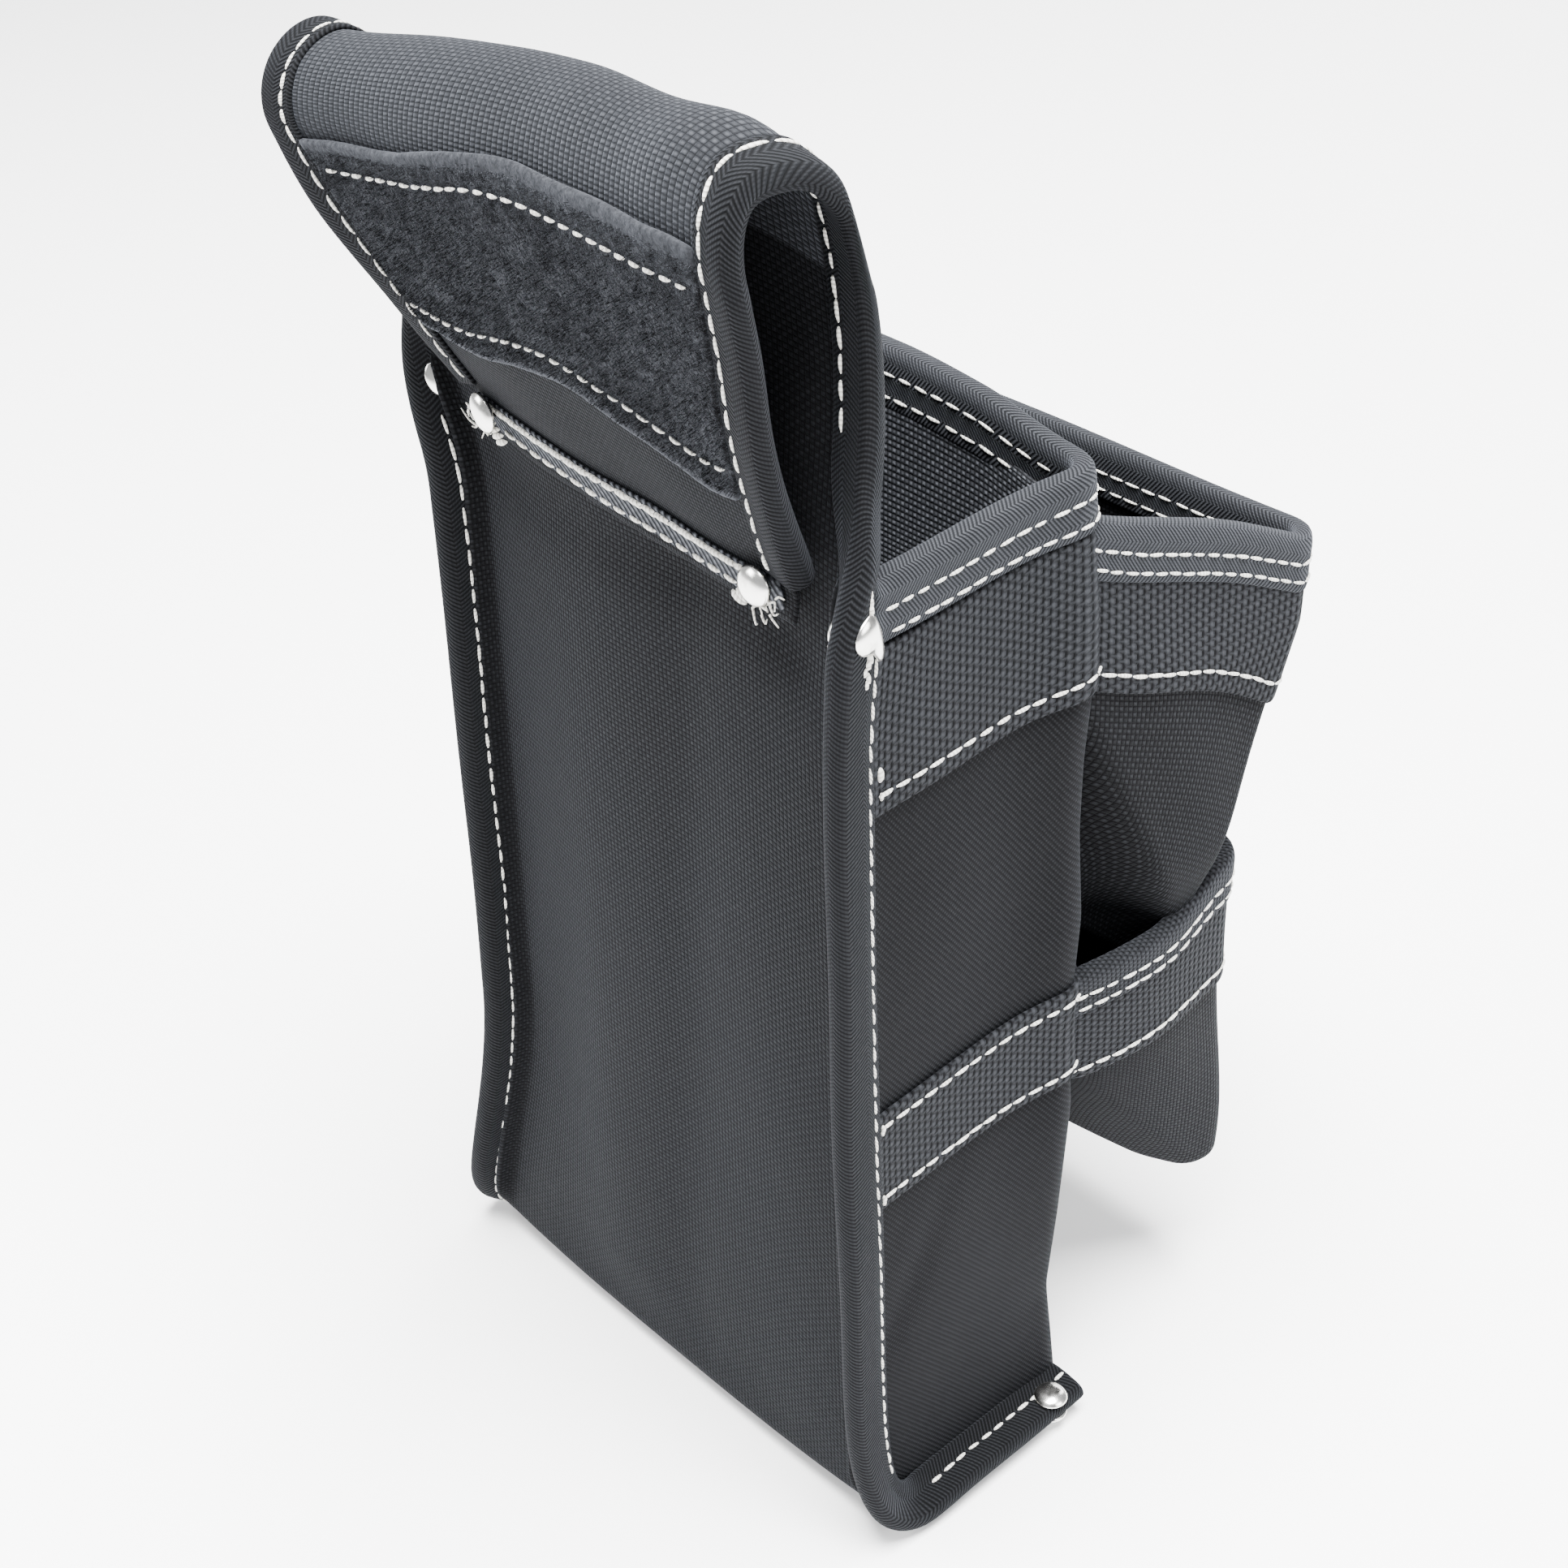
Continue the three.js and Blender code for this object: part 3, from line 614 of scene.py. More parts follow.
def set_lights():
    world = bpy.data.worlds.new("world")
    world.use_nodes = True
    sky = world.node_tree.nodes["Background"]
    sky.inputs["Color"].default_value = (0.95, 0.97, 1.0, 1)
    sky.inputs["Strength"].default_value = 0.6
    bpy.context.scene.world = world
    set_light("top", (-0.2, 0.1, 1.5), 0.9, 205)
    set_light("left", (0.9, 1.2, 1.1), 0.8, 36)
    set_light("right", (-1.4, -0.3, 0.9), 0.8, 26)
    set_light("front", (0.4, -1.4, 0.8), 0.9, 26)


set_camera()
set_floor()
set_lights()


# ---------------------------------------------------------------- back panel and belt loop: one strip of canvas
STRIP_MID = 0.9                     # half its thickness
# the loop from the side, as (y, z) from the top of the back panel
LOOP_POINTS = [(0, 0), (1.6, 11.5), (9, 19), (18, 15.5), (21.8, 3),
               (20, -14), (16.5, -29), (10.5, -48), (4.2, -64), (3, -71)]
SEAM_TOP = RIM - 4                  # above this the strip lies flat to its edges


def strip_line():
    """Middle of the strip from the side: under the base, round the roll, up the back and over the loop."""
    base = np.stack([np.linspace(BASE_FRONT, HALF_DEPTH - FOLD_R - 1, 24), np.full(24, STRIP_MID)], 1)
    roll = arc(HALF_DEPTH - FOLD_R, FOLD_R, FOLD_R - STRIP_MID, 275, 360, 16)
    back = np.stack([np.full(70, HALF_DEPTH - STRIP_MID), np.linspace(FOLD_R + 2, LOOP_START - 14, 70)], 1)
    loop = catmull([(LOOP_BACK + y, LOOP_START + z) for y, z in LOOP_POINTS], 12)
    return np.vstack([base, roll, back, loop])


STRIP_LINE = strip_line()
STRIP_AT = along(STRIP_LINE)
STRIP_LENGTH = STRIP_AT[-1]
TOP_AT = STRIP_AT[np.argmax(STRIP_LINE[:, 1])]
ROLL_AT = np.interp(HALF_DEPTH - FOLD_R, STRIP_LINE[:24, 0], STRIP_AT[:24])


def strip_place(v):
    """Depth and height of the strip's middle, and the direction out of its back, at a length along it."""
    place = on_line(v, STRIP_AT, STRIP_LINE)
    return place[..., 0], place[..., 1], *beside(v, STRIP_AT, STRIP_LINE, 1.5)


def strip_v(z, flap=False):
    """Length along the strip at a height on the back, or on the flap that hangs behind it."""
    part = STRIP_AT > TOP_AT if flap else (STRIP_AT > ROLL_AT) & (STRIP_AT <= TOP_AT)
    heights, places = STRIP_LINE[part, 1], STRIP_AT[part]
    order = np.argsort(heights)
    return np.interp(z, heights[order], places[order])


def strip_half(v):
    """Half width of the strip at a length along it."""
    down = np.clip((LOOP_START - strip_place(v)[1]) / (LOOP_START - FLAP_END), 0, 1)
    return np.where(v > TOP_AT, mix(PANEL_HALF, FLAP_END_HALF, down), PANEL_HALF)


def back_dents(x, z):
    """How far the soft back stands out, in mm: broad folds, a hollow under the flap and a fuller lower half."""
    folds = 0.9 * bump_at(x, 18 - 0.05 * z, 13) - 0.8 * bump_at(x, -14 - 0.06 * (z - 120), 9)
    folds += 0.7 * bump_at(x, -38, 12) * bump_at(z, 120, 70)
    folds += 1.0 * bump_at(x, 8, 40) * bump_at(z, 40, 34)
    hollow = -0.9 * bump_at(z, 221, 7) * (1 + 0.5 * bump_at(x, -30, 25))
    ripple = 0.25 * np.sin(x / 9.0 + z / 23) * np.sin(z / 31 + 1.2)
    fade = ease((z - 8) / 20) * ease((238 - z) / 12)
    return (folds + ripple) * fade * ease((60 - np.abs(x)) / 14) + hollow * ease((60 - np.abs(x)) / 10)


def loop_dents(x, v):
    """Soft creases across the top of the loop, in mm out of the strip's back."""
    s = v - TOP_AT
    crease = 0.7 * bump_at(x, -6, 9) * bump_at(s, 6, 9) - 0.8 * bump_at(x, -46, 7) * bump_at(s, 12, 14)
    swell = -0.9 * bump_at(x, 14, 30) * bump_at(s, 22, 16)
    ripple = 0.2 * np.sin(x / 7 + s / 9)
    return (crease + swell + ripple) * ease((v - strip_v(LOOP_START) + 8) / 14)


def flap_twist(x, down):
    """The flap was sewn down askew: how far a place moves along X and Z, `down` being 1 at the flap's end."""
    return -7.5 * down, 6.5 * down**2 * (x + 45) / 80


def strip(u, v, lift=0.0):
    """The strip's middle surface: u runs towards -X, v along the strip."""
    y, z, out_y, out_z = strip_place(v)
    u, v, y, z, out_y, out_z = np.broadcast_arrays(u, v, y, z, out_y, out_z)
    x = -u * strip_half(v) / PANEL_HALF
    at_back = (v > ROLL_AT) & (v <= TOP_AT)
    on_back = np.where(at_back, ease((z - 3) / 16) * ease((SEAM_TOP + 10 - z) / 14), 0)
    # the edges turn out into the seam beside the main pocket
    side = np.abs(x)
    start, radius, most = 60.3, 3.0, 1.35
    angle = np.clip((side - start) / radius, 0, most)
    rest = np.clip(side - start - radius * most, 0, None)
    turned_x = np.minimum(side, start) + radius * np.sin(angle) + rest * math.cos(most)
    turned_out = radius * (1 - np.cos(angle)) + rest * math.sin(most)
    x = np.sign(x) * mix(side, turned_x, on_back)
    out = turned_out * on_back + np.where(at_back, back_dents(x, z), 0) + loop_dents(x, v)
    # the base sags between its seams
    sag = ease(1 - (v - ROLL_AT) / 22)
    z = z + 5.2 * (np.abs(x) / PANEL_HALF) ** 3 * sag
    out = out + lift
    twist_x, twist_z = flap_twist(x, ease((v - TOP_AT) / (STRIP_LENGTH - TOP_AT)))
    return np.stack([x * narrow(z) + twist_x, y + out_y * out, z + out_z * out + twist_z], -1)


def make_strip():
    margin = 3.0
    u = np.concatenate([even(-PANEL_HALF - margin, -56, 1.6), even(-53, 53, 3.0), even(56, PANEL_HALF + margin, 1.6)])
    v = np.concatenate([even(0, ROLL_AT, 3.5), even(ROLL_AT + 1, ROLL_AT + 20, 1.2),
                        even(ROLL_AT + 23, TOP_AT - 22, 3.5), even(TOP_AT - 20, STRIP_LENGTH, 2.0)])
    uu, vv = np.meshgrid(u, v)
    # past the rim the cloth ends at the tape, so its spare width is taken up
    free = np.maximum(ease((vv - strip_v(SEAM_TOP)) / 12), 1.4 * ease((strip_v(13) - vv) / 14))
    uu = np.sign(uu) * np.minimum(np.abs(uu), mix(PANEL_HALF + margin, PANEL_HALF - 0.5, free))
    points = strip(uu, vv)
    piece = cloth("back_strip", points, np.stack([uu, vv], -1), THICK["strip"], canvas, "canvas", offset=0)
    place = (vv[:-1, :-1] + vv[1:, 1:]) / 2
    # the loop takes the lighter copy of the canvas, painted light from above
    mark_faces(piece, loop_canvas_painted_light, (place > strip_v(LOOP_START)) & (place < strip_v(PILE[0] + 6, flap=True)))
    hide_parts("back_panel", "belt_loop_flap")


make_strip()


# ---------------------------------------------------------------- main pocket wall
def wall_plan():
    """Outside of the wall in plan, from its back edge on the left side to the middle of the front."""
    half, front, r = WALL_HALF, WALL_FRONT, 5
    return np.vstack([
        [(-half - 3.6, 35.5), (-half - 2.6, 31), (-half - 1.2, 27.5), (-half - 0.1, 23.5)],
        np.stack([np.full(20, -half), np.linspace(20, front + r + 2, 20)], 1),
        arc(-half + r, front + r, r, 184, 266, 9),
        np.stack([np.linspace(-half + r + 2, 0, 20), np.full(20, front)], 1)])


WALL_PLAN = whole_plan(wall_plan())
WALL_AT = along(WALL_PLAN)
WALL_LENGTH = WALL_AT[-1]
WALL_FOOT = 5.0


def wall_bulge(u, z):
    """How far the wall stands out: soft panels between the bands, pulled in where the bands are sewn."""
    side = np.minimum(u, WALL_LENGTH - u)
    sides = bump_at(side, 30, 17)
    belly = 1.2 * sides * bump_at(z, 165, 26) + 1.0 * sides * bump_at(z, 62, 26) - 0.8 * sides * bump_at(z, 112, 16)
    heights, stands_out = zip(
        (5, 2.0), (20, 0.5), (34, -1.0), (57, 1.4), (90, 4.1), (113, 2.9), (140, 4.9), (161, 3.6), (178, 4.0),
        (192, 5.4), (211, 4.9), (232, 3.0), (240, 2.0))
    edge = 0.85 * bump_at(side, 69, 13) * np.interp(z, heights, stands_out)
    crease = -0.5 * bump_at(side - 0.55 * (z - 60), 14, 5) * bump_at(z, 70, 26)
    front = 0.8 * np.sin(np.pi * np.clip((u - 75) / (WALL_LENGTH - 150), 0, 1)) * bump_at(z, 150, 90)
    return belly + edge + crease + front


def wall(u, v, lift=0.0):
    """Outside of the wall: u along the plan, v up."""
    u, v = np.broadcast_arrays(u, v)
    place = on_line(u, WALL_AT, WALL_PLAN)
    out_x, out_y = beside(u, WALL_AT, WALL_PLAN, 1.2)
    out = wall_bulge(u, v) + lift
    # at the foot the back edge comes forward into the corner of the seam
    back_edge = np.interp(v, [4, 9, 15, 30, 60, 212, 226], [13, 20, 25, 32, 36, 36, 28.5])
    y = np.minimum(place[..., 1] + out * out_y, back_edge)
    return np.stack([(place[..., 0] + out * out_x) * narrow(v), y, v], -1)


def make_wall():
    uu, vv = np.meshgrid(even(0, WALL_LENGTH, 2.0), even(WALL_FOOT, RIM, 3.0))
    piece = cloth("pocket_wall_cloth", *spread(wall, uu, vv), THICK["wall"], wall_canvas, "canvas")
    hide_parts("pocket_wall")


BAND_START = 5.5                    # the bands start beside the seam


def make_band(name, node, bottom, top):
    uu, vv = np.meshgrid(even(BAND_START, WALL_LENGTH - BAND_START, 2.0), even(bottom, top, 2.5))
    vv = vv + 0.4 * np.sin(uu / 21 + bottom)
    piece = cloth(name, *spread(wall, uu, vv, BAND_LIFT), THICK["band"], webbing, "webbing")
    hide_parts(node)


make_wall()
make_band("wide_band", "wide_webbing_band", *WIDE_BAND)
make_band("narrow_band", "narrow_webbing_band", *NARROW_BAND)


def rim_profile(leg, inside, outside):
    """Tape folded over an edge, for `folded_tape`: up the inside, over and down the outside."""
    inner = [(-leg, -inside), (-leg * 0.5, -inside), (-1.0, -inside - 0.1)]
    top = [(1.7 * 0.75, -inside * 0.78), (1.7, (outside - inside) / 2), (1.7 * 0.75, outside * 0.75)]
    outer = [(-1.0, outside + 0.15), (-leg * 0.5, outside), (-leg, outside)]
    return catmull(inner + top + outer, 3)


RIM_TAPE_LEG = RIM - low("pocket_rim_binding")[2]


def make_rim_tape():
    u = even(BAND_START - 1, WALL_LENGTH - BAND_START + 1, 2.0)
    # the rim tape uses the lighter binding copy, painted light from above
    piece = folded_tape("rim_tape", wall, u, RIM, rim_profile(RIM_TAPE_LEG, 3.3, 1.7), rim_binding)
    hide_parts("pocket_rim_binding")


make_rim_tape()


# ---------------------------------------------------------------- lining and boards
LINING_INSET = 2.8
LINING_TOP = RIM - 8                # it ends under the rim's tape


LINING_FLOOR = 5.0
LINING_TURN = 26.0                  # cloth between the middle of the floor and the foot of the wall


def lining_plan():
    """Inside of the pocket in plan, from the middle of the back round the left side to the middle of the front."""
    half, front, back, r = WALL_HALF - LINING_INSET, WALL_FRONT + LINING_INSET, HALF_DEPTH - 6.6, 5
    return np.vstack([
        [(0, back), (-half + 6, back)],
        arc(-half + 4, back - 4, 4, 90, 180, 5),
        [(-half, 5)],
        arc(-half + r, front + r, r, 180, 270, 7),
        [(0, front)]])


LINING_PLAN = whole_plan(lining_plan())
LINING_AT = along(LINING_PLAN)


def lining_bag(u, v):
    """Inside of the lining: u round the plan from the middle of the back, v up from the middle of the floor."""
    place = on_line(u, LINING_AT, LINING_PLAN)
    above = v - LINING_TURN
    shrink = np.sin(np.clip(v / LINING_TURN, 0.0, 1) * math.pi / 2) ** 0.6
    z = LINING_FLOOR + np.clip(above, 0, None) + 1.6 * (1 - np.sqrt(np.clip(1 - (shrink * 0.98) ** 8, 0, 1)))
    soft = 0.9 * np.sin(u / 13 + v / 37) * np.sin(v / 29 + u / 41) * np.clip(above / 30, 0, 1) - 0.4
    soft = soft * np.clip((LINING_TOP - above) / 24, 0, 1)
    scale = (1 - np.clip(soft, 0, 2) / 60) * shrink
    return np.stack([place[..., 0] * scale * narrow(z), place[..., 1] * scale, z], -1)


def make_lining():
    v = np.concatenate([even(1.0, LINING_TURN, 2.5), even(29, LINING_TURN + LINING_TOP - LINING_FLOOR, 4)])
    points, uv = spread(lining_bag, *np.meshgrid(even(LINING_AT[-1], 0, 3.2), v))
    points[:, -1] = points[:, 0]
    piece = cloth("pocket_lining_cloth", points, uv, THICK["lining"], lining, "lining")
    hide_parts("pocket_lining")


make_lining()


def make_boards():
    """The back board follows the soft back, hidden between it and the lining; the base board keeps its CAD shape."""
    uu, vv = np.meshgrid(even(-56, 56, 4), even(strip_v(16), strip_v(LINING_TOP - 3), 6))
    piece = cloth("back_board", *spread(lambda a, b: strip(a, b, -2.0), uu, vv), THICK["board"], board, "board")
    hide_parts("back_stiffener")
    base_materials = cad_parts["base_stiffener"].data.materials
    base_materials.clear()
    base_materials.append(board)


make_boards()


# ---------------------------------------------------------------- edge bindings
# The seam beside the main pocket stands out backwards, turns round the bottom corner and
# lies level along the base.  Each entry is (root, out): where the tape starts and where it points.
SEAM = [
    ((66.9, 27.5, 243), (0.34, 0.94, 0.00)),
    ((66.9, 27.5, 200), (0.24, 0.97, 0.00)),
    ((67.0, 27.5, 150), (0.16, 1.00, 0.00)),
    ((67.0, 27.3, 100), (0.13, 1.00, 0.00)),
    ((67.2, 27.2, 60), (0.16, 1.00, 0.00)),
    ((67.4, 26.5, 30), (0.30, 0.95, -0.05)),
    ((67.6, 24.6, 15), (0.55, 0.80, -0.30)),
    ((67.4, 20.5, 8.6), (0.80, 0.45, -0.45)),
    ((66.9, 14.5, 6.6), (0.95, 0.16, -0.30)),
    ((66.6, 4.0, 6.3), (1.00, 0.02, -0.16)),
    ((66.6, -12.0, 6.4), (1.00, 0.00, -0.12)),
    ((66.6, -31.0, 6.6), (1.00, 0.00, -0.08)),
]


def seam_line():
    """Roots and directions of the right-hand seam, close together."""
    roots = catmull([r for r, _ in SEAM], 10)
    outs = catmull([o for _, o in SEAM], 10)
    s = along(roots)
    t = even(0, s[-1], 2.0)
    roots, outs = on_line(t, s, roots), on_line(t, s, outs)
    roots[:, 0] *= narrow(roots[:, 2]) / narrow(0)
    # hand-sewn tape wanders a little
    roots[:, 0] += 0.25 * np.sin(t / 19)
    outs[:, 0] += 0.05 * np.sin(t / 13 + 1)
    return roots, unit(outs)


SEAM_ROOTS, SEAM_OUTS = seam_line()
SEAM_PROFILE = catmull([
    (0.6, -4.6), (3.2, -4.3), (6.0, -3.5), (8.4, -2.1), (9.4, 0.0), (8.2, 1.9), (5.0, 2.5), (1.5, 2.6),
    (-1.6, 2.2)], 3)
ALLOWANCE_PROFILE = catmull([(0.0, -1.2), (4, -1.2), (7.4, -0.8), (8.0, 0), (7.4, 0.8), (4, 1.3), (0.0, 1.3)], 2)
LOOP_LAP = 4.8                      # how far the loop's tape reaches in from the edge
LOOP_PROFILE = catmull([
    (-LOOP_LAP, -1.75), (-2.0, -2.0), (1.0, -2.4), (2.8, -2.1), (3.7, 0.0), (2.8, 2.1), (1.0, 2.4), (-2.0, 2.0),
    (-LOOP_LAP, 1.75)], 3)
LOOP_FOOT = 258                     # from here the tape turns, until it stands out backwards at SEAM_HEAD
SEAM_HEAD = 222


def loop_edge(turn):
    """Edge of the strip on its right side, from the end of the flap over the loop and down the back.

    With a turn of -1 it is the left edge, mirrored to lie on the right."""
    v = even(strip_v(END_TAPE[1] + 0.5, flap=True), strip_v(LOOP_FOOT), 1.6)
    edge = strip(np.full(len(v), turn * (0.5 - PANEL_HALF)), v) * [turn, 1, 1]
    inner = strip(np.full(len(v), turn * (6 - PANEL_HALF)), v) * [turn, 1, 1]
    return edge, unit(edge - inner)


LOOP_EDGES = {"right": loop_edge(1), "left": loop_edge(-1)}


def edge_tape_line(side):
    """The whole tape on the right-hand side: round the flap, down the back, round the corner and along the base."""
    edge, edge_out = LOOP_EDGES[side]
    seam = SEAM_ROOTS[:, 2] < SEAM_HEAD
    start, end = edge[-1], SEAM_ROOTS[seam][0]
    t = even(0, 1, 1.8 / (start[2] - end[2]))[1:-1, None]
    turn = mix(start, end, ease(t))
    turn[:, 2] = mix(start[2], end[2], t[:, 0])
    turn_out = unit(mix(edge_out[-1], SEAM_OUTS[seam][0], ease(t)))
    roots = np.vstack([edge, turn, SEAM_ROOTS[seam]])
    outs = np.vstack([edge_out, turn_out, SEAM_OUTS[seam]])
    change = np.concatenate([np.zeros(len(edge)), ease(t[:, 0]), np.ones(seam.sum())])
    return roots, outs, mix(LOOP_PROFILE, SEAM_PROFILE, change[:, None, None])


def make_edge_tape(side, mirrored):
    roots, outs, profile = edge_tape_line(side)
    piece = tape(f"edge_tape_{side}", roots, outs, profile, THICK["tape"], binding, "binding_tape", mirrored)
    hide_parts(f"seam_binding_{side}", f"loop_binding_{side}")
    seam = SEAM_ROOTS[:, 2] < SEAM_HEAD + 4
    tape(f"seam_allowance_{side}", SEAM_ROOTS[seam][:-2], SEAM_OUTS[seam][:-2], ALLOWANCE_PROFILE,
         THICK["seam_allowance"], canvas, "canvas", mirrored)


make_edge_tape("left", mirrored=True)
make_edge_tape("right", mirrored=False)


# ---------------------------------------------------------------- pile strip and end tape on the flap
def flap_face(u, v):
    """Outer face of the flap, 1 mm off the strip's middle: u runs towards +X, v down the flap."""
    return strip(-u, v, -1.0)


# how far the pile strip's edges wander, as (u, v)
PILE_WANDER_TOP = catmull([(-66, -4.5), (-52, -4.6), (-38, -4.6), (-18, -4.8), (5, -4.2), (30, 0.5), (66, 5.0)], 8)
PILE_WANDER_FOOT = catmull(
    [(-66, -2.6), (-50, 0.2), (-38, -1.6), (-22, -4.6), (-4, -7.0), (12, -5.4), (35, -1.6), (66, 0.5)], 8)
PILE_START, PILE_END = strip_v(PILE[1], flap=True), strip_v(PILE[0], flap=True)
PILE_LENGTH = PILE_END - PILE_START
FOLD_LINE = 6.4                     # the pile is pressed down this far from its edges, where it is sewn


def pile_wave(u, down):
    """How far the pile strip, sewn on by hand, wanders along the flap; down is 0 at its top edge and 1 at its foot."""
    return mix(np.interp(u, *PILE_WANDER_TOP.T), np.interp(u, *PILE_WANDER_FOOT.T), down)


def pile_half(v):
    """Half width of the pile, which ends at the edge tape, as a cloth coordinate."""
    return PANEL_HALF * (1 - 5.6 / strip_half(v))


def make_pile_hairs():
    """Short brushed fibres standing on the pile strip."""
    count = 26000
    v = random.uniform(PILE_START + 2.0, PILE_END - 1.2, count)
    u = random.uniform(-1, 1, count) * pile_half(v)
    edge = np.minimum(v - PILE_START, PILE_END - v)
    keep = random.uniform(0, 1, count) > 0.75 * bump_at(edge, FOLD_LINE, 0.9)
    u, v = u[keep], v[keep]
    roots, normals = lifted(flap_face, u, v + pile_wave(u, (v - PILE_START) / PILE_LENGTH), 1.25)
    count = len(u)
    lean = unit(random.standard_normal((count, 3)))
    across = unit(np.cross(normals, lean))
    onward = unit(normals * 0.75 + lean * random.uniform(0.3, 0.9, (count, 1)))
    tip = roots + onward * random.uniform(0.5, 1.1, (count, 1))
    half = across * random.uniform(0.05, 0.10, (count, 1))
    points = np.stack([roots - half, roots + half, tip + half * 0.4, tip - half * 0.4], 1).reshape(-1, 3)
    uv = np.repeat(np.stack([u, v], -1), 4, 0)
    make_mesh("pile_hairs", points, np.arange(count * 4).reshape(-1, 4), uv, pile_cloth)


def make_pile():
    ss, vv = np.meshgrid(even(-1, 1, 1.5 / PANEL_HALF), even(PILE_START, PILE_END, 1.3))
    uu = ss * pile_half(vv)
    inside = bump_at(vv, (PILE_START + PILE_END) / 2, PILE_LENGTH * 0.6)
    down, up = vv - PILE_START, PILE_END - vv
    vv = vv + pile_wave(uu, down / PILE_LENGTH) + 0.35 * np.sin(uu / 4.1) * (1 - inside)
    edge = np.minimum(down, up)
    height = 1.3 + 0.3 * ease(1 - edge / 2.5) + 0.06 * random.standard_normal(uu.shape)
    points, uv = spread(flap_face, uu, vv, height - 0.6 * bump_at(edge, FOLD_LINE, 1.1))
    piece = cloth("pile_strip", points, uv, THICK["pile"], pile_cloth, "pile")
    mark_faces(piece, pile_edge, ((down < 2.0) | (up < 1.3))[:-1, :-1])
    make_pile_hairs()
    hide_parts("loop_fastener_strip")


def make_end_tape():
    v = even(strip_v(END_TAPE[1], flap=True), strip_v(END_TAPE[0] + 0.5, flap=True), 1.5)
    uu, vv = np.meshgrid(even(-PANEL_HALF + 3, PANEL_HALF - 3, 2.0), v)
    points, _ = lifted(flap_face, uu, vv + 0.3 * np.sin(uu / 8), 0.9)
    # the end tape's cloth is made lighter as painted light against the shade under the flap
    piece = cloth("end_tape", points, np.stack([uu, vv], -1), THICK["end_tape"], ribbed_tape, "binding_tape")
    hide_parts("flap_end_tape")


make_pile()
make_end_tape()


# ---------------------------------------------------------------- front pockets
ZONE = 34                           # cloth from the rim down to the lower edge of the band


@dataclass
class Pocket:
    """A flared pocket on the front, laid out as an upright box and then moved into place as the CAD model is.

    In rim, base and zone, s is 0 at the wall and 1 at the tip; in front, w is 0 at the foot and 1 at the rim."""
    level: str
    reach: float                    # from the wall to the front, in the layout
    height: float                   # length of the cloth from its lower edge to the rim
    flare: float                    # how much wider the rim gets towards the tip
    tuck: float                     # how much narrower the foot is
    crease: tuple                   # (y, z) of a fold in the side, at the wall and at the tip
    corner: float                   # radius of the front corners
    depth: float                    # how far the side folds in below the crease
    rim: Callable                   # height of the rim at s
    base: Callable                  # height of the lower edge at s
    zone: Callable                  # how far the zone of the rim and band reaches down at s
    front: Callable                 # how far the front stands out at w
    swell: float = 0.0              # how far the side swells at its middle
    squeeze: float = 0.0            # how far the side is pressed in by the pocket below

    def __post_init__(self):
        r, face = self.corner, POCKET_BACK - self.reach
        self.plan = whole_plan(np.vstack([
            np.stack([np.full(12, -POCKET_HALF), np.linspace(POCKET_BACK + 1.2, face + r, 12)], 1),
            arc(-POCKET_HALF + r, face + r, r, 186, 266, 9),
            np.stack([np.linspace(-POCKET_HALF + r + 1, 0, 12), np.full(12, face)], 1)]))
        self.at = along(self.plan)
        self.length = self.at[-1]
        self.name = f"{self.level}_pocket"

    def surface(self, u, v):
        """Outside of the pocket: u along the plan from the left side, v from its lower edge up to the rim."""
        x, y = np.moveaxis(on_line(u, self.at, self.plan), -1, 0)
        away = POCKET_BACK - y
        s = np.clip(away / (self.reach - self.corner), 0, 1)
        t = self.height - v
        rim, base, zone = self.rim(s), self.base(s), self.zone(s)
        z = np.where(t < ZONE, rim - t * zone / ZONE, mix(rim - zone, base, (t - ZONE) / (self.height - ZONE)))
        w = np.clip((z - self.base(1)) / (self.rim(1) - self.base(1)), 0, 1)
        y = y + s * (self.reach - self.front(w))
        x = x * (1 + self.flare * s * w - self.tuck * (1 - w))
        # below the crease from the wall to the tip the side folds inwards, and in front of it it bellies out a little
        (start_y, start_z), (tip_y, tip_z) = self.crease
        length = math.hypot(tip_y - start_y, tip_z - start_z)
        below = ((tip_y - start_y) * (z - start_z) - (tip_z - start_z) * (y - start_y)) / length
        fold = np.log1p(np.exp(np.clip(below / 0.7, -30, 30))) * 0.7
        inset = self.depth * (1 - np.exp(-fold / 3.5)) + 0.42 * fold - self.swell * np.sin(math.pi * s) * w
        inset = inset + self.squeeze * bump_at(z, LOWER_MOUTH, 11)
        belly = 1.6 * bump_at(below, -16, 13) * np.clip(t / 30, 0, 1)
        x = x + np.sign(x) * ease((np.abs(x) - 48) / 12) * (belly - inset)
        soft = 1.2 * np.cos(x / 30) * np.clip(t / 40, 0, 1) * ease((away - self.reach + 6) / 6)
        x, y = x * narrow(z), y - soft
        if self.level == "lower":
            z = z + hang(x, y, z)       # it keeps its height on the wall
        return np.stack([x, y, z], -1)

    def make(self, share, rim_look):
        """All the cloth of the pocket; `share`, how much of its flat rectangle the tapered wall fills, is not used."""
        u = even(0, self.length, 2.0)
        uu, vv = np.meshgrid(u, even(0, self.height, 2.5))
        piece = cloth(f"{self.name}_cloth", *spread(self.surface, uu, vv), THICK["pocket"], pocket_canvas,
                      "canvas")
        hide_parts(f"{self.name}_wall")
        uu, vv = np.meshgrid(u, even(self.height - ZONE + 1, self.height - 9, 2.2))
        band = cloth(f"{self.name}_band", *spread(self.surface, uu, vv, 1.4), THICK["band"], webbing, "webbing")
        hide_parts(f"{self.name}_webbing_band")
        profile = rim_profile(10.5, 2.6, 2.0)
        rim = folded_tape(f"{self.name}_rim_tape", self.surface, u, self.height, profile, rim_look)
        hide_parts(f"{self.name}_rim_binding")
        self.make_floor()

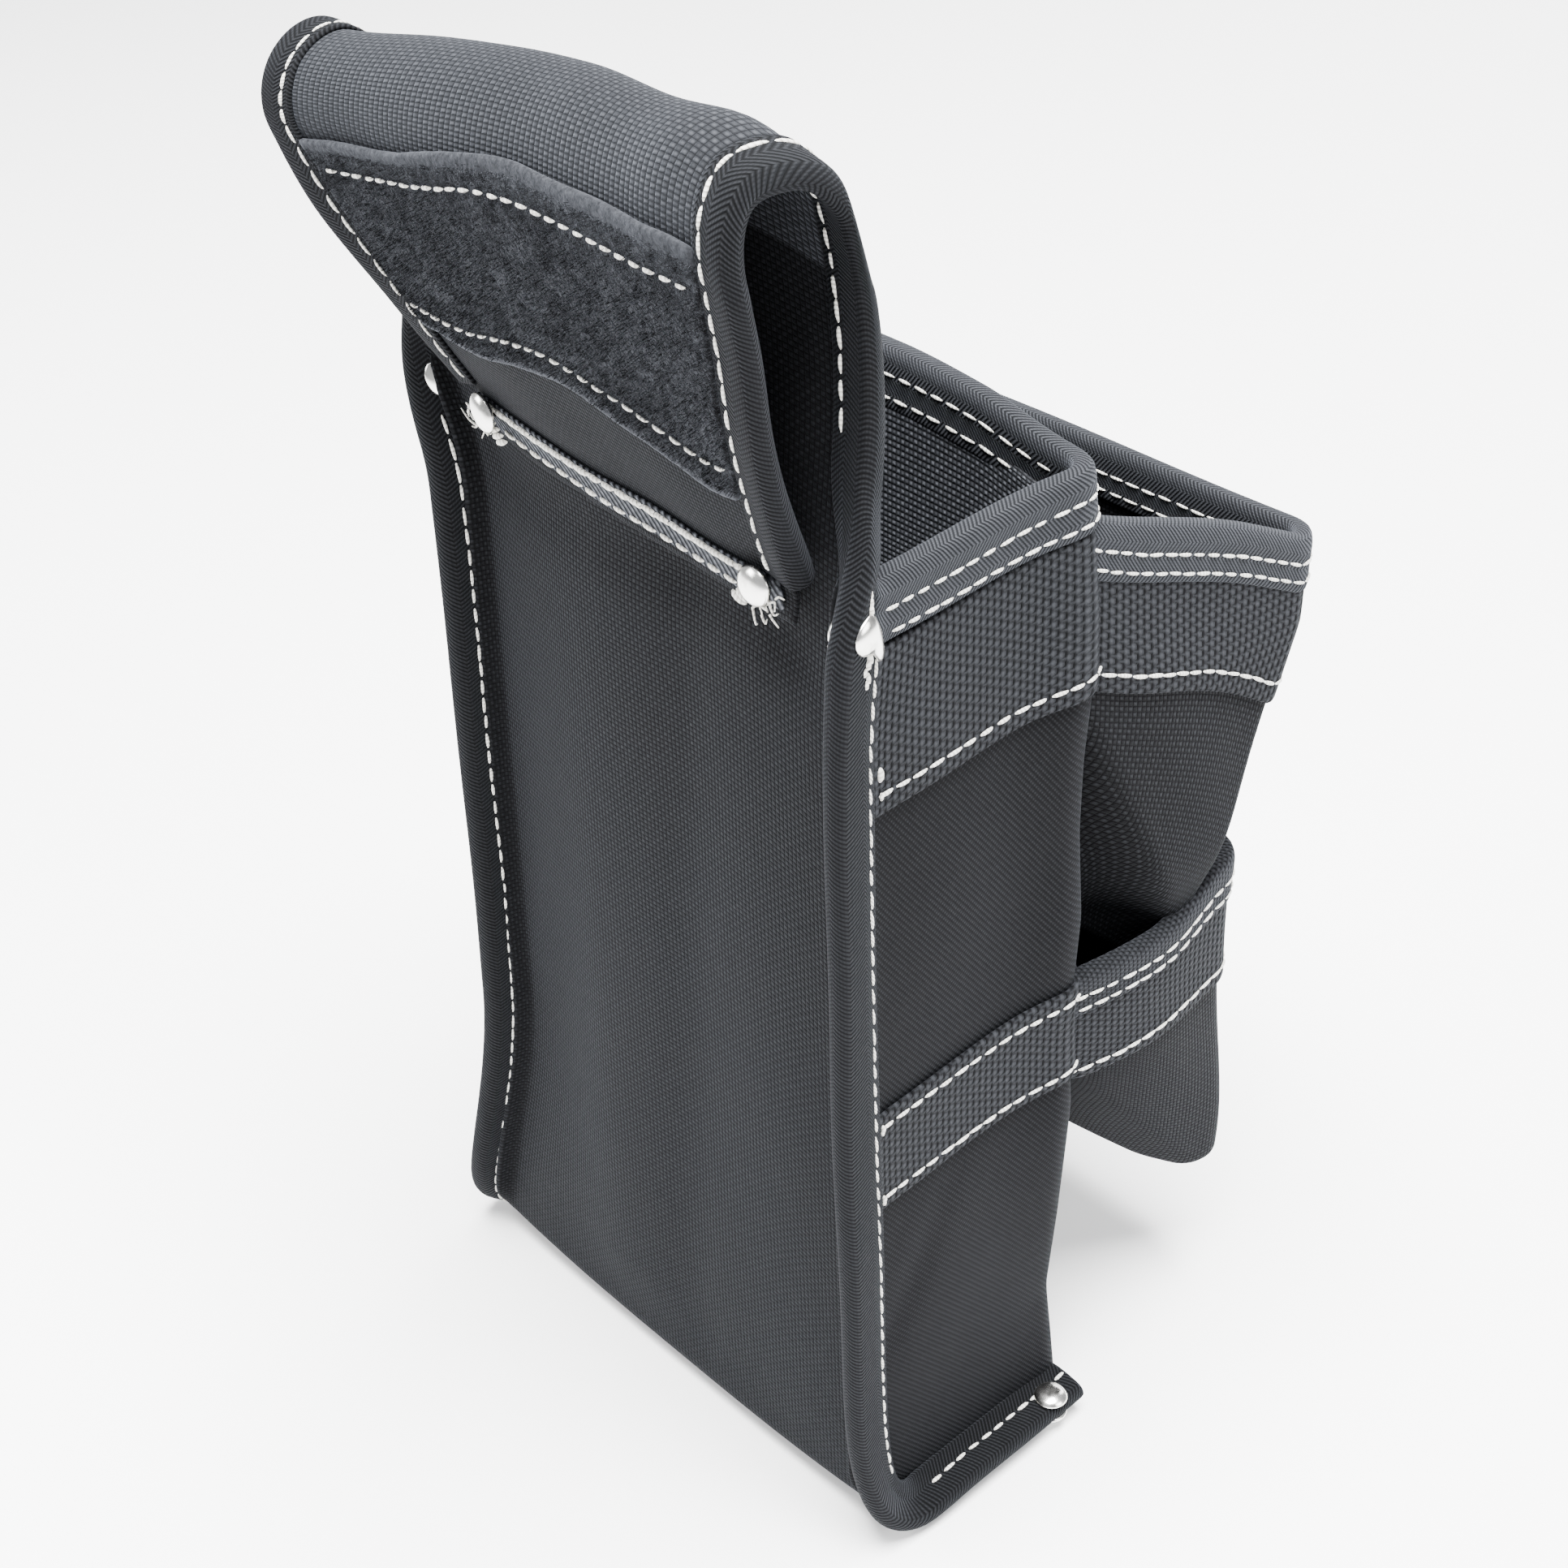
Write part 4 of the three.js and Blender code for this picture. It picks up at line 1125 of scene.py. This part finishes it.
    def make_floor(self):
        """The underside, from the wall down to the tip."""
        place = POCKET_BACK - even(POCKET_BACK + 0.5, POCKET_BACK - self.reach, 2.5)
        s = np.clip(place / (self.reach - self.corner), 0, 1)
        left = len(self.plan) // 2
        u = np.interp(place, POCKET_BACK - self.plan[:left, 1], self.at[:left])
        edge = self.surface(u, np.zeros(len(place)))
        across = even(-1, 1, 0.045)
        points = np.repeat(edge[None], len(across), 0)
        points[..., 0] *= -across[:, None]
        points[..., 2] -= np.cos(across * math.pi / 2)[:, None] * np.sin(np.pi * s)
        uv = np.stack(np.meshgrid(along(edge), across * POCKET_HALF), -1)
        piece = cloth(f"{self.name}_underside", points, uv, THICK["pocket"], pocket_canvas, "canvas", offset=1)
        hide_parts(f"{self.name}_bottom")


def to_tip(s):
    """0 over the half of the side near the wall, rising to 1 at the tip."""
    return ease((s - 0.55) / 0.45)


LOWER_MOUTH = 122                   # the upper pocket's foot stands in the lower pocket's mouth at this height
upper = Pocket(
    "upper", reach=62, height=85, flare=0.1, tuck=-0.09, crease=((-31, 188), (-66, 108)), corner=5, depth=13.0,
    rim=lambda s: mix(230, 201.5, s), base=lambda s: mix(133, 108, s), zone=lambda s: 36,
    front=lambda w: mix(34, 65, np.minimum(1, w / 0.8)), squeeze=3.2)
lower = Pocket(
    "lower", reach=55, height=90, flare=0.03, tuck=0.0, crease=((-31, 97), (-74, 43)), corner=9, depth=4.5,
    rim=lambda s: 119.5 + 6.5 * to_tip(s), zone=lambda s: 27.5 + 6.5 * to_tip(s),
    base=lambda s: np.interp(s, [0, 0.35, 0.67, 0.85, 1], [83, 64, 46.5, 39.5, 38]),
    front=lambda w: mix(62, 56, ease(w / 0.9)), swell=2.8)
# the upper pocket's rim tape uses the lighter binding copy, painted light from above
upper.make(0.86, rim_binding)
lower.make(0.92, coarse_binding)


# ---------------------------------------------------------------- rivets
RIVET_HEAD = [(0.0, 1.55), (1.2, 1.5), (2.3, 1.28), (3.2, 0.85), (3.75, 0.35), (3.95, 0.0), (3.8, -0.3),
              (3.2, -0.45), (1.5, -0.45)]       # (radius, height) of a domed head
RIVET_SIDES = 40
# where the soft cloth has carried a rivet, and how far its inner head is pressed in
RIVET_SHIFT = {
    ("flap_end", "left"): (-7.5, 0, 0.7), ("flap_end", "right"): (-7.5, 0, 6.7),
    ("side_seam", "left"): (0, -3.0, -2.2), ("side_seam", "right"): (-2.0, -5.0, 1.5)}
RIVET_TUCK = {"flap_end": 4.1, "side_seam": 2.2, "base_seam": 2.2}


def node_points(node):
    return np.array([v.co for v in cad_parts[node].data.vertices]) / MM


def rivet(place, side):
    """Two domed heads and the post between them, turned smooth; returns the cap's middle and the way it faces."""
    name = f"{place}_rivet_{side}"
    nodes = f"{place}_rivet_cap_{side}", f"{place}_rivet_base_{side}"
    cap, base = node_points(nodes[0]), node_points(nodes[1])
    shift = np.array(RIVET_SHIFT.get((place, side), (0, 0, 0)))
    centre = (cap.min(0) + cap.max(0)) / 2 + shift
    axis = np.linalg.svd(cap - cap.mean(0))[2][2]
    axis = axis * np.sign(axis @ (cap.mean(0) - base.mean(0)))
    inner = ((base + shift - centre) @ axis).min() + RIVET_TUCK[place]
    profile = np.array([(r, h - 0.5) for r, h in RIVET_HEAD] + [(r, inner - h) for r, h in RIVET_HEAD[::-1]])
    first = unit(np.cross(axis, [0.2, 0.3, 0.9]))
    angle = np.linspace(0, 2 * math.pi, RIVET_SIDES, endpoint=False)[:, None]
    ring = first * np.cos(angle) + np.cross(axis, first) * np.sin(angle)
    points = (centre + profile[None, :, :1] * ring[:, None] + profile[None, :, 1:] * axis).reshape(-1, 3)
    faces = grid_faces(RIVET_SIDES + 1, len(profile)) % len(points)
    piece = make_mesh(name, points, faces, np.zeros((len(points), 2)), nickel)
    piece.modifiers.new("weld", "WELD").merge_threshold = 0.02 * MM
    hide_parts(*nodes)
    return centre, axis


RIVETS = {(place, side): rivet(place, side) for place in RIVET_TUCK for side in ("left", "right")}


# ---------------------------------------------------------------- stitching
def both_sides(line, normals):
    """A right-hand row and its mirror image."""
    flip = np.array([-1, 1, 1])
    return [(line, normals), (line * flip, normals * flip)]


def tape_row(roots, outs, a, b, face):
    """A line at (a, b) of a tape's profile, with normals on its near (-1) or far (1) face."""
    outs, sides = tape_frames(roots, outs)
    return roots + outs * a + sides * b, sides * face


ROW_START = 11.5                    # the bands' rows start where they come out from under the seam tape
ON_RIM_TAPE, ON_BAND = 1.75, 1.4    # how far rows lie above the wall's face
NARROW_ROWS = (NARROW_BAND[0] + 3.2, NARROW_BAND[1] - 3.4)


def stitch_walls():
    rows = Thread()
    u = even(ROW_START, WALL_LENGTH - ROW_START, 1.0)
    rows.on(wall, u, RIM - 4.2, ON_RIM_TAPE)
    rows.on(wall, u, RIM - 9.0, ON_RIM_TAPE, start=2.4)
    rows.on(wall, u, WIDE_BAND[0] + 4.6, ON_BAND, width=0.88, stitch=3.9)
    for z in NARROW_ROWS:
        rows.on(wall, u, z, ON_BAND, width=0.88, pitch=4.2)
    # the same rim rows show inside the mouth
    _, outward = lifted(wall, u, RIM - 5.0)
    rows.row(wall(u, RIM - 3.6, -3.35), -outward)
    rows.row(wall(u, RIM - 8.4, -3.35), -outward, start=2.0)
    # knots where the band rows start beside the seams
    for z in NARROW_ROWS:
        for end in (ROW_START, WALL_LENGTH - ROW_START):
            for k in range(3):
                rows.on(wall, end + 0.25 * k, [z - 1.3 + 0.5 * k, z + 1.6 + 0.2 * k], 1.6, pitch=9,
                        stitch=1.2 + 0.6 * k, width=1.2, start=0.0)
    for end in (ROW_START + 1.5, WALL_LENGTH - ROW_START - 1.5):
        for foot, top, width, stitch in ((7, 12.5, 1.7, 3.6), (3.0, 6, 0.9, 1.6)):
            rows.on(wall, end, WIDE_BAND[0] + np.linspace(foot, top, 9), 1.5, width=width, stitch=stitch, pitch=9)
    rows.make("wall_stitching")


def stitch_seams():
    rows = Thread()
    y, z = SEAM_ROOTS[:, 1], SEAM_ROOTS[:, 2]
    far_side, near_side, base_side = (z < RIM - 12) & (z > 14), (z < RIM - 12) & (y > 8), y < 15
    for a, b, face, part, settings in (
            (0.6, 2.55, 1, far_side, {}),
            (4.0, -4.15, -1, near_side, {}),
            (3.2, 2.5, 1, base_side, {"width": 0.9, "pitch": 4.1, "stitch": 3.5})):
        line, normals = tape_row(SEAM_ROOTS, SEAM_OUTS, a, b, face)
        for turned_line, turned_normals in both_sides(line[part], normals[part]):
            rows.row(turned_line, turned_normals, **settings)
    rows.make("seam_stitching")


def stitch_loop():
    rows = Thread()
    for side, turn in (("right", 1), ("left", -1)):
        for face, shift in ((-1, 0.0), (1, 1.5)):
            line, normals = tape_row(*LOOP_EDGES[side], -LOOP_LAP + 2.0, face * 2.05, face)
            rows.row(line * [turn, 1, 1], normals * [turn, 1, 1], start=0.6 + shift, pitch=4.7, stitch=4.1)
    u = even(-PANEL_HALF + 8, PANEL_HALF - 8, 1.0)
    for v in (PILE_START + pile_wave(u, 0.15) + FOLD_LINE, PILE_END + pile_wave(u, 0.85) - FOLD_LINE):
        rows.on(flap_face, u, v, 1.35, width=0.85, pitch=3.7, stitch=2.6, rise=0.35)
    rows.make("loop_stitching")


def stitch_end_tape():
    rows = Thread()
    u = even(-PANEL_HALF + 6, PANEL_HALF - 6, 1.0)
    high_v, low_v = strip_v(END_TAPE[1] - 1.3, flap=True), strip_v(END_TAPE[0] + 2.0, flap=True)
    rows.on(flap_face, u, high_v - 0.3, 1.0, width=1.4, pitch=3.6, stitch=3.5, rise=0.4)
    rows.on(flap_face, u, high_v + 0.5, 0.95, width=1.0, pitch=3.9, stitch=3.2, start=2.0)
    rows.on(flap_face, u, low_v, 1.0, width=1.1, pitch=4.2, stitch=3.3)
    # the closing rows are run over at both ends, and their tails are left frayed
    for side, turn in (("left", -1), ("right", 1)):
        centre, _ = RIVETS["flap_end", side]
        for k in range(9):
            start = centre + [turn * random.uniform(-2, 5), -1.2 + random.uniform(0, 0.6), random.uniform(-5.5, 1.5)]
            bend = start + [turn * random.uniform(0.5, 3), random.uniform(-0.2, 0.8), random.uniform(-2.5, 2.0)]
            end = bend + [turn * random.uniform(-0.5, 2.5), random.uniform(-0.4, 0.8), random.uniform(-2.5, 1.5)]
            rows.strand([start, bend, end], 0.45)
        for k in range(4):
            start = centre + [turn * (-6.5 + 1.2 * k), -1.3, -3.6 + 0.8 * k]
            rows.stitch(start, start + [turn * 3.6, 0.1, -1.4], np.array([0, 1.0, 0.1]), 1.3, 0.5)
    rows.make("end_tape_stitching")


def stitch_pockets():
    rows = Thread()
    for pocket in (upper, lower):
        u = even(1.5, pocket.length - 1.5, 1.0)
        top = pocket.height
        rows.on(pocket.surface, u, top - 4.4, 2.15)
        rows.on(pocket.surface, u, top - 8.2, 2.15, start=2.2)
        rows.on(pocket.surface, u, top - ZONE + 5.0, 1.55, width=0.85, stitch=4.0)
        _, outward = lifted(pocket.surface, u, top - 4.0)
        for depth, start in ((4.2, 1.0), (8.0, 2.6)):
            rows.row(pocket.surface(u, top - depth) - outward * 2.75, -outward, start=start)
    rows.make("pocket_stitching")


def stitch_rivets():
    """Bartacks above and below the side rivets."""
    rows = Thread()
    for side, turn in (("left", -1), ("right", 1)):
        centre, axis = RIVETS["side_seam", side]
        for lift, sign in ((-0.9, 1), (-5.9, -1)):
            place = centre + axis * lift
            for k in range(5):
                drift = np.array([0, 0.3 * random.standard_normal(), 0])
                start = place + drift + [0, 0, -3.4 - 1.3 * k]
                rows.stitch(start, start + [0, -0.25, -2.3], axis * sign, 1.5 - 0.12 * k, 0.45)
            for k in range(3):
                start = place + [0, -0.2, 3.2 + 1.5 * k]
                rows.stitch(start, start + [0, 0.1, 2.4], axis * sign, 1.25 - 0.25 * k, 0.45)
    rows.make("rivet_bartacks")


stitch_walls()
stitch_seams()
stitch_loop()
stitch_end_tape()
stitch_pockets()
stitch_rivets()
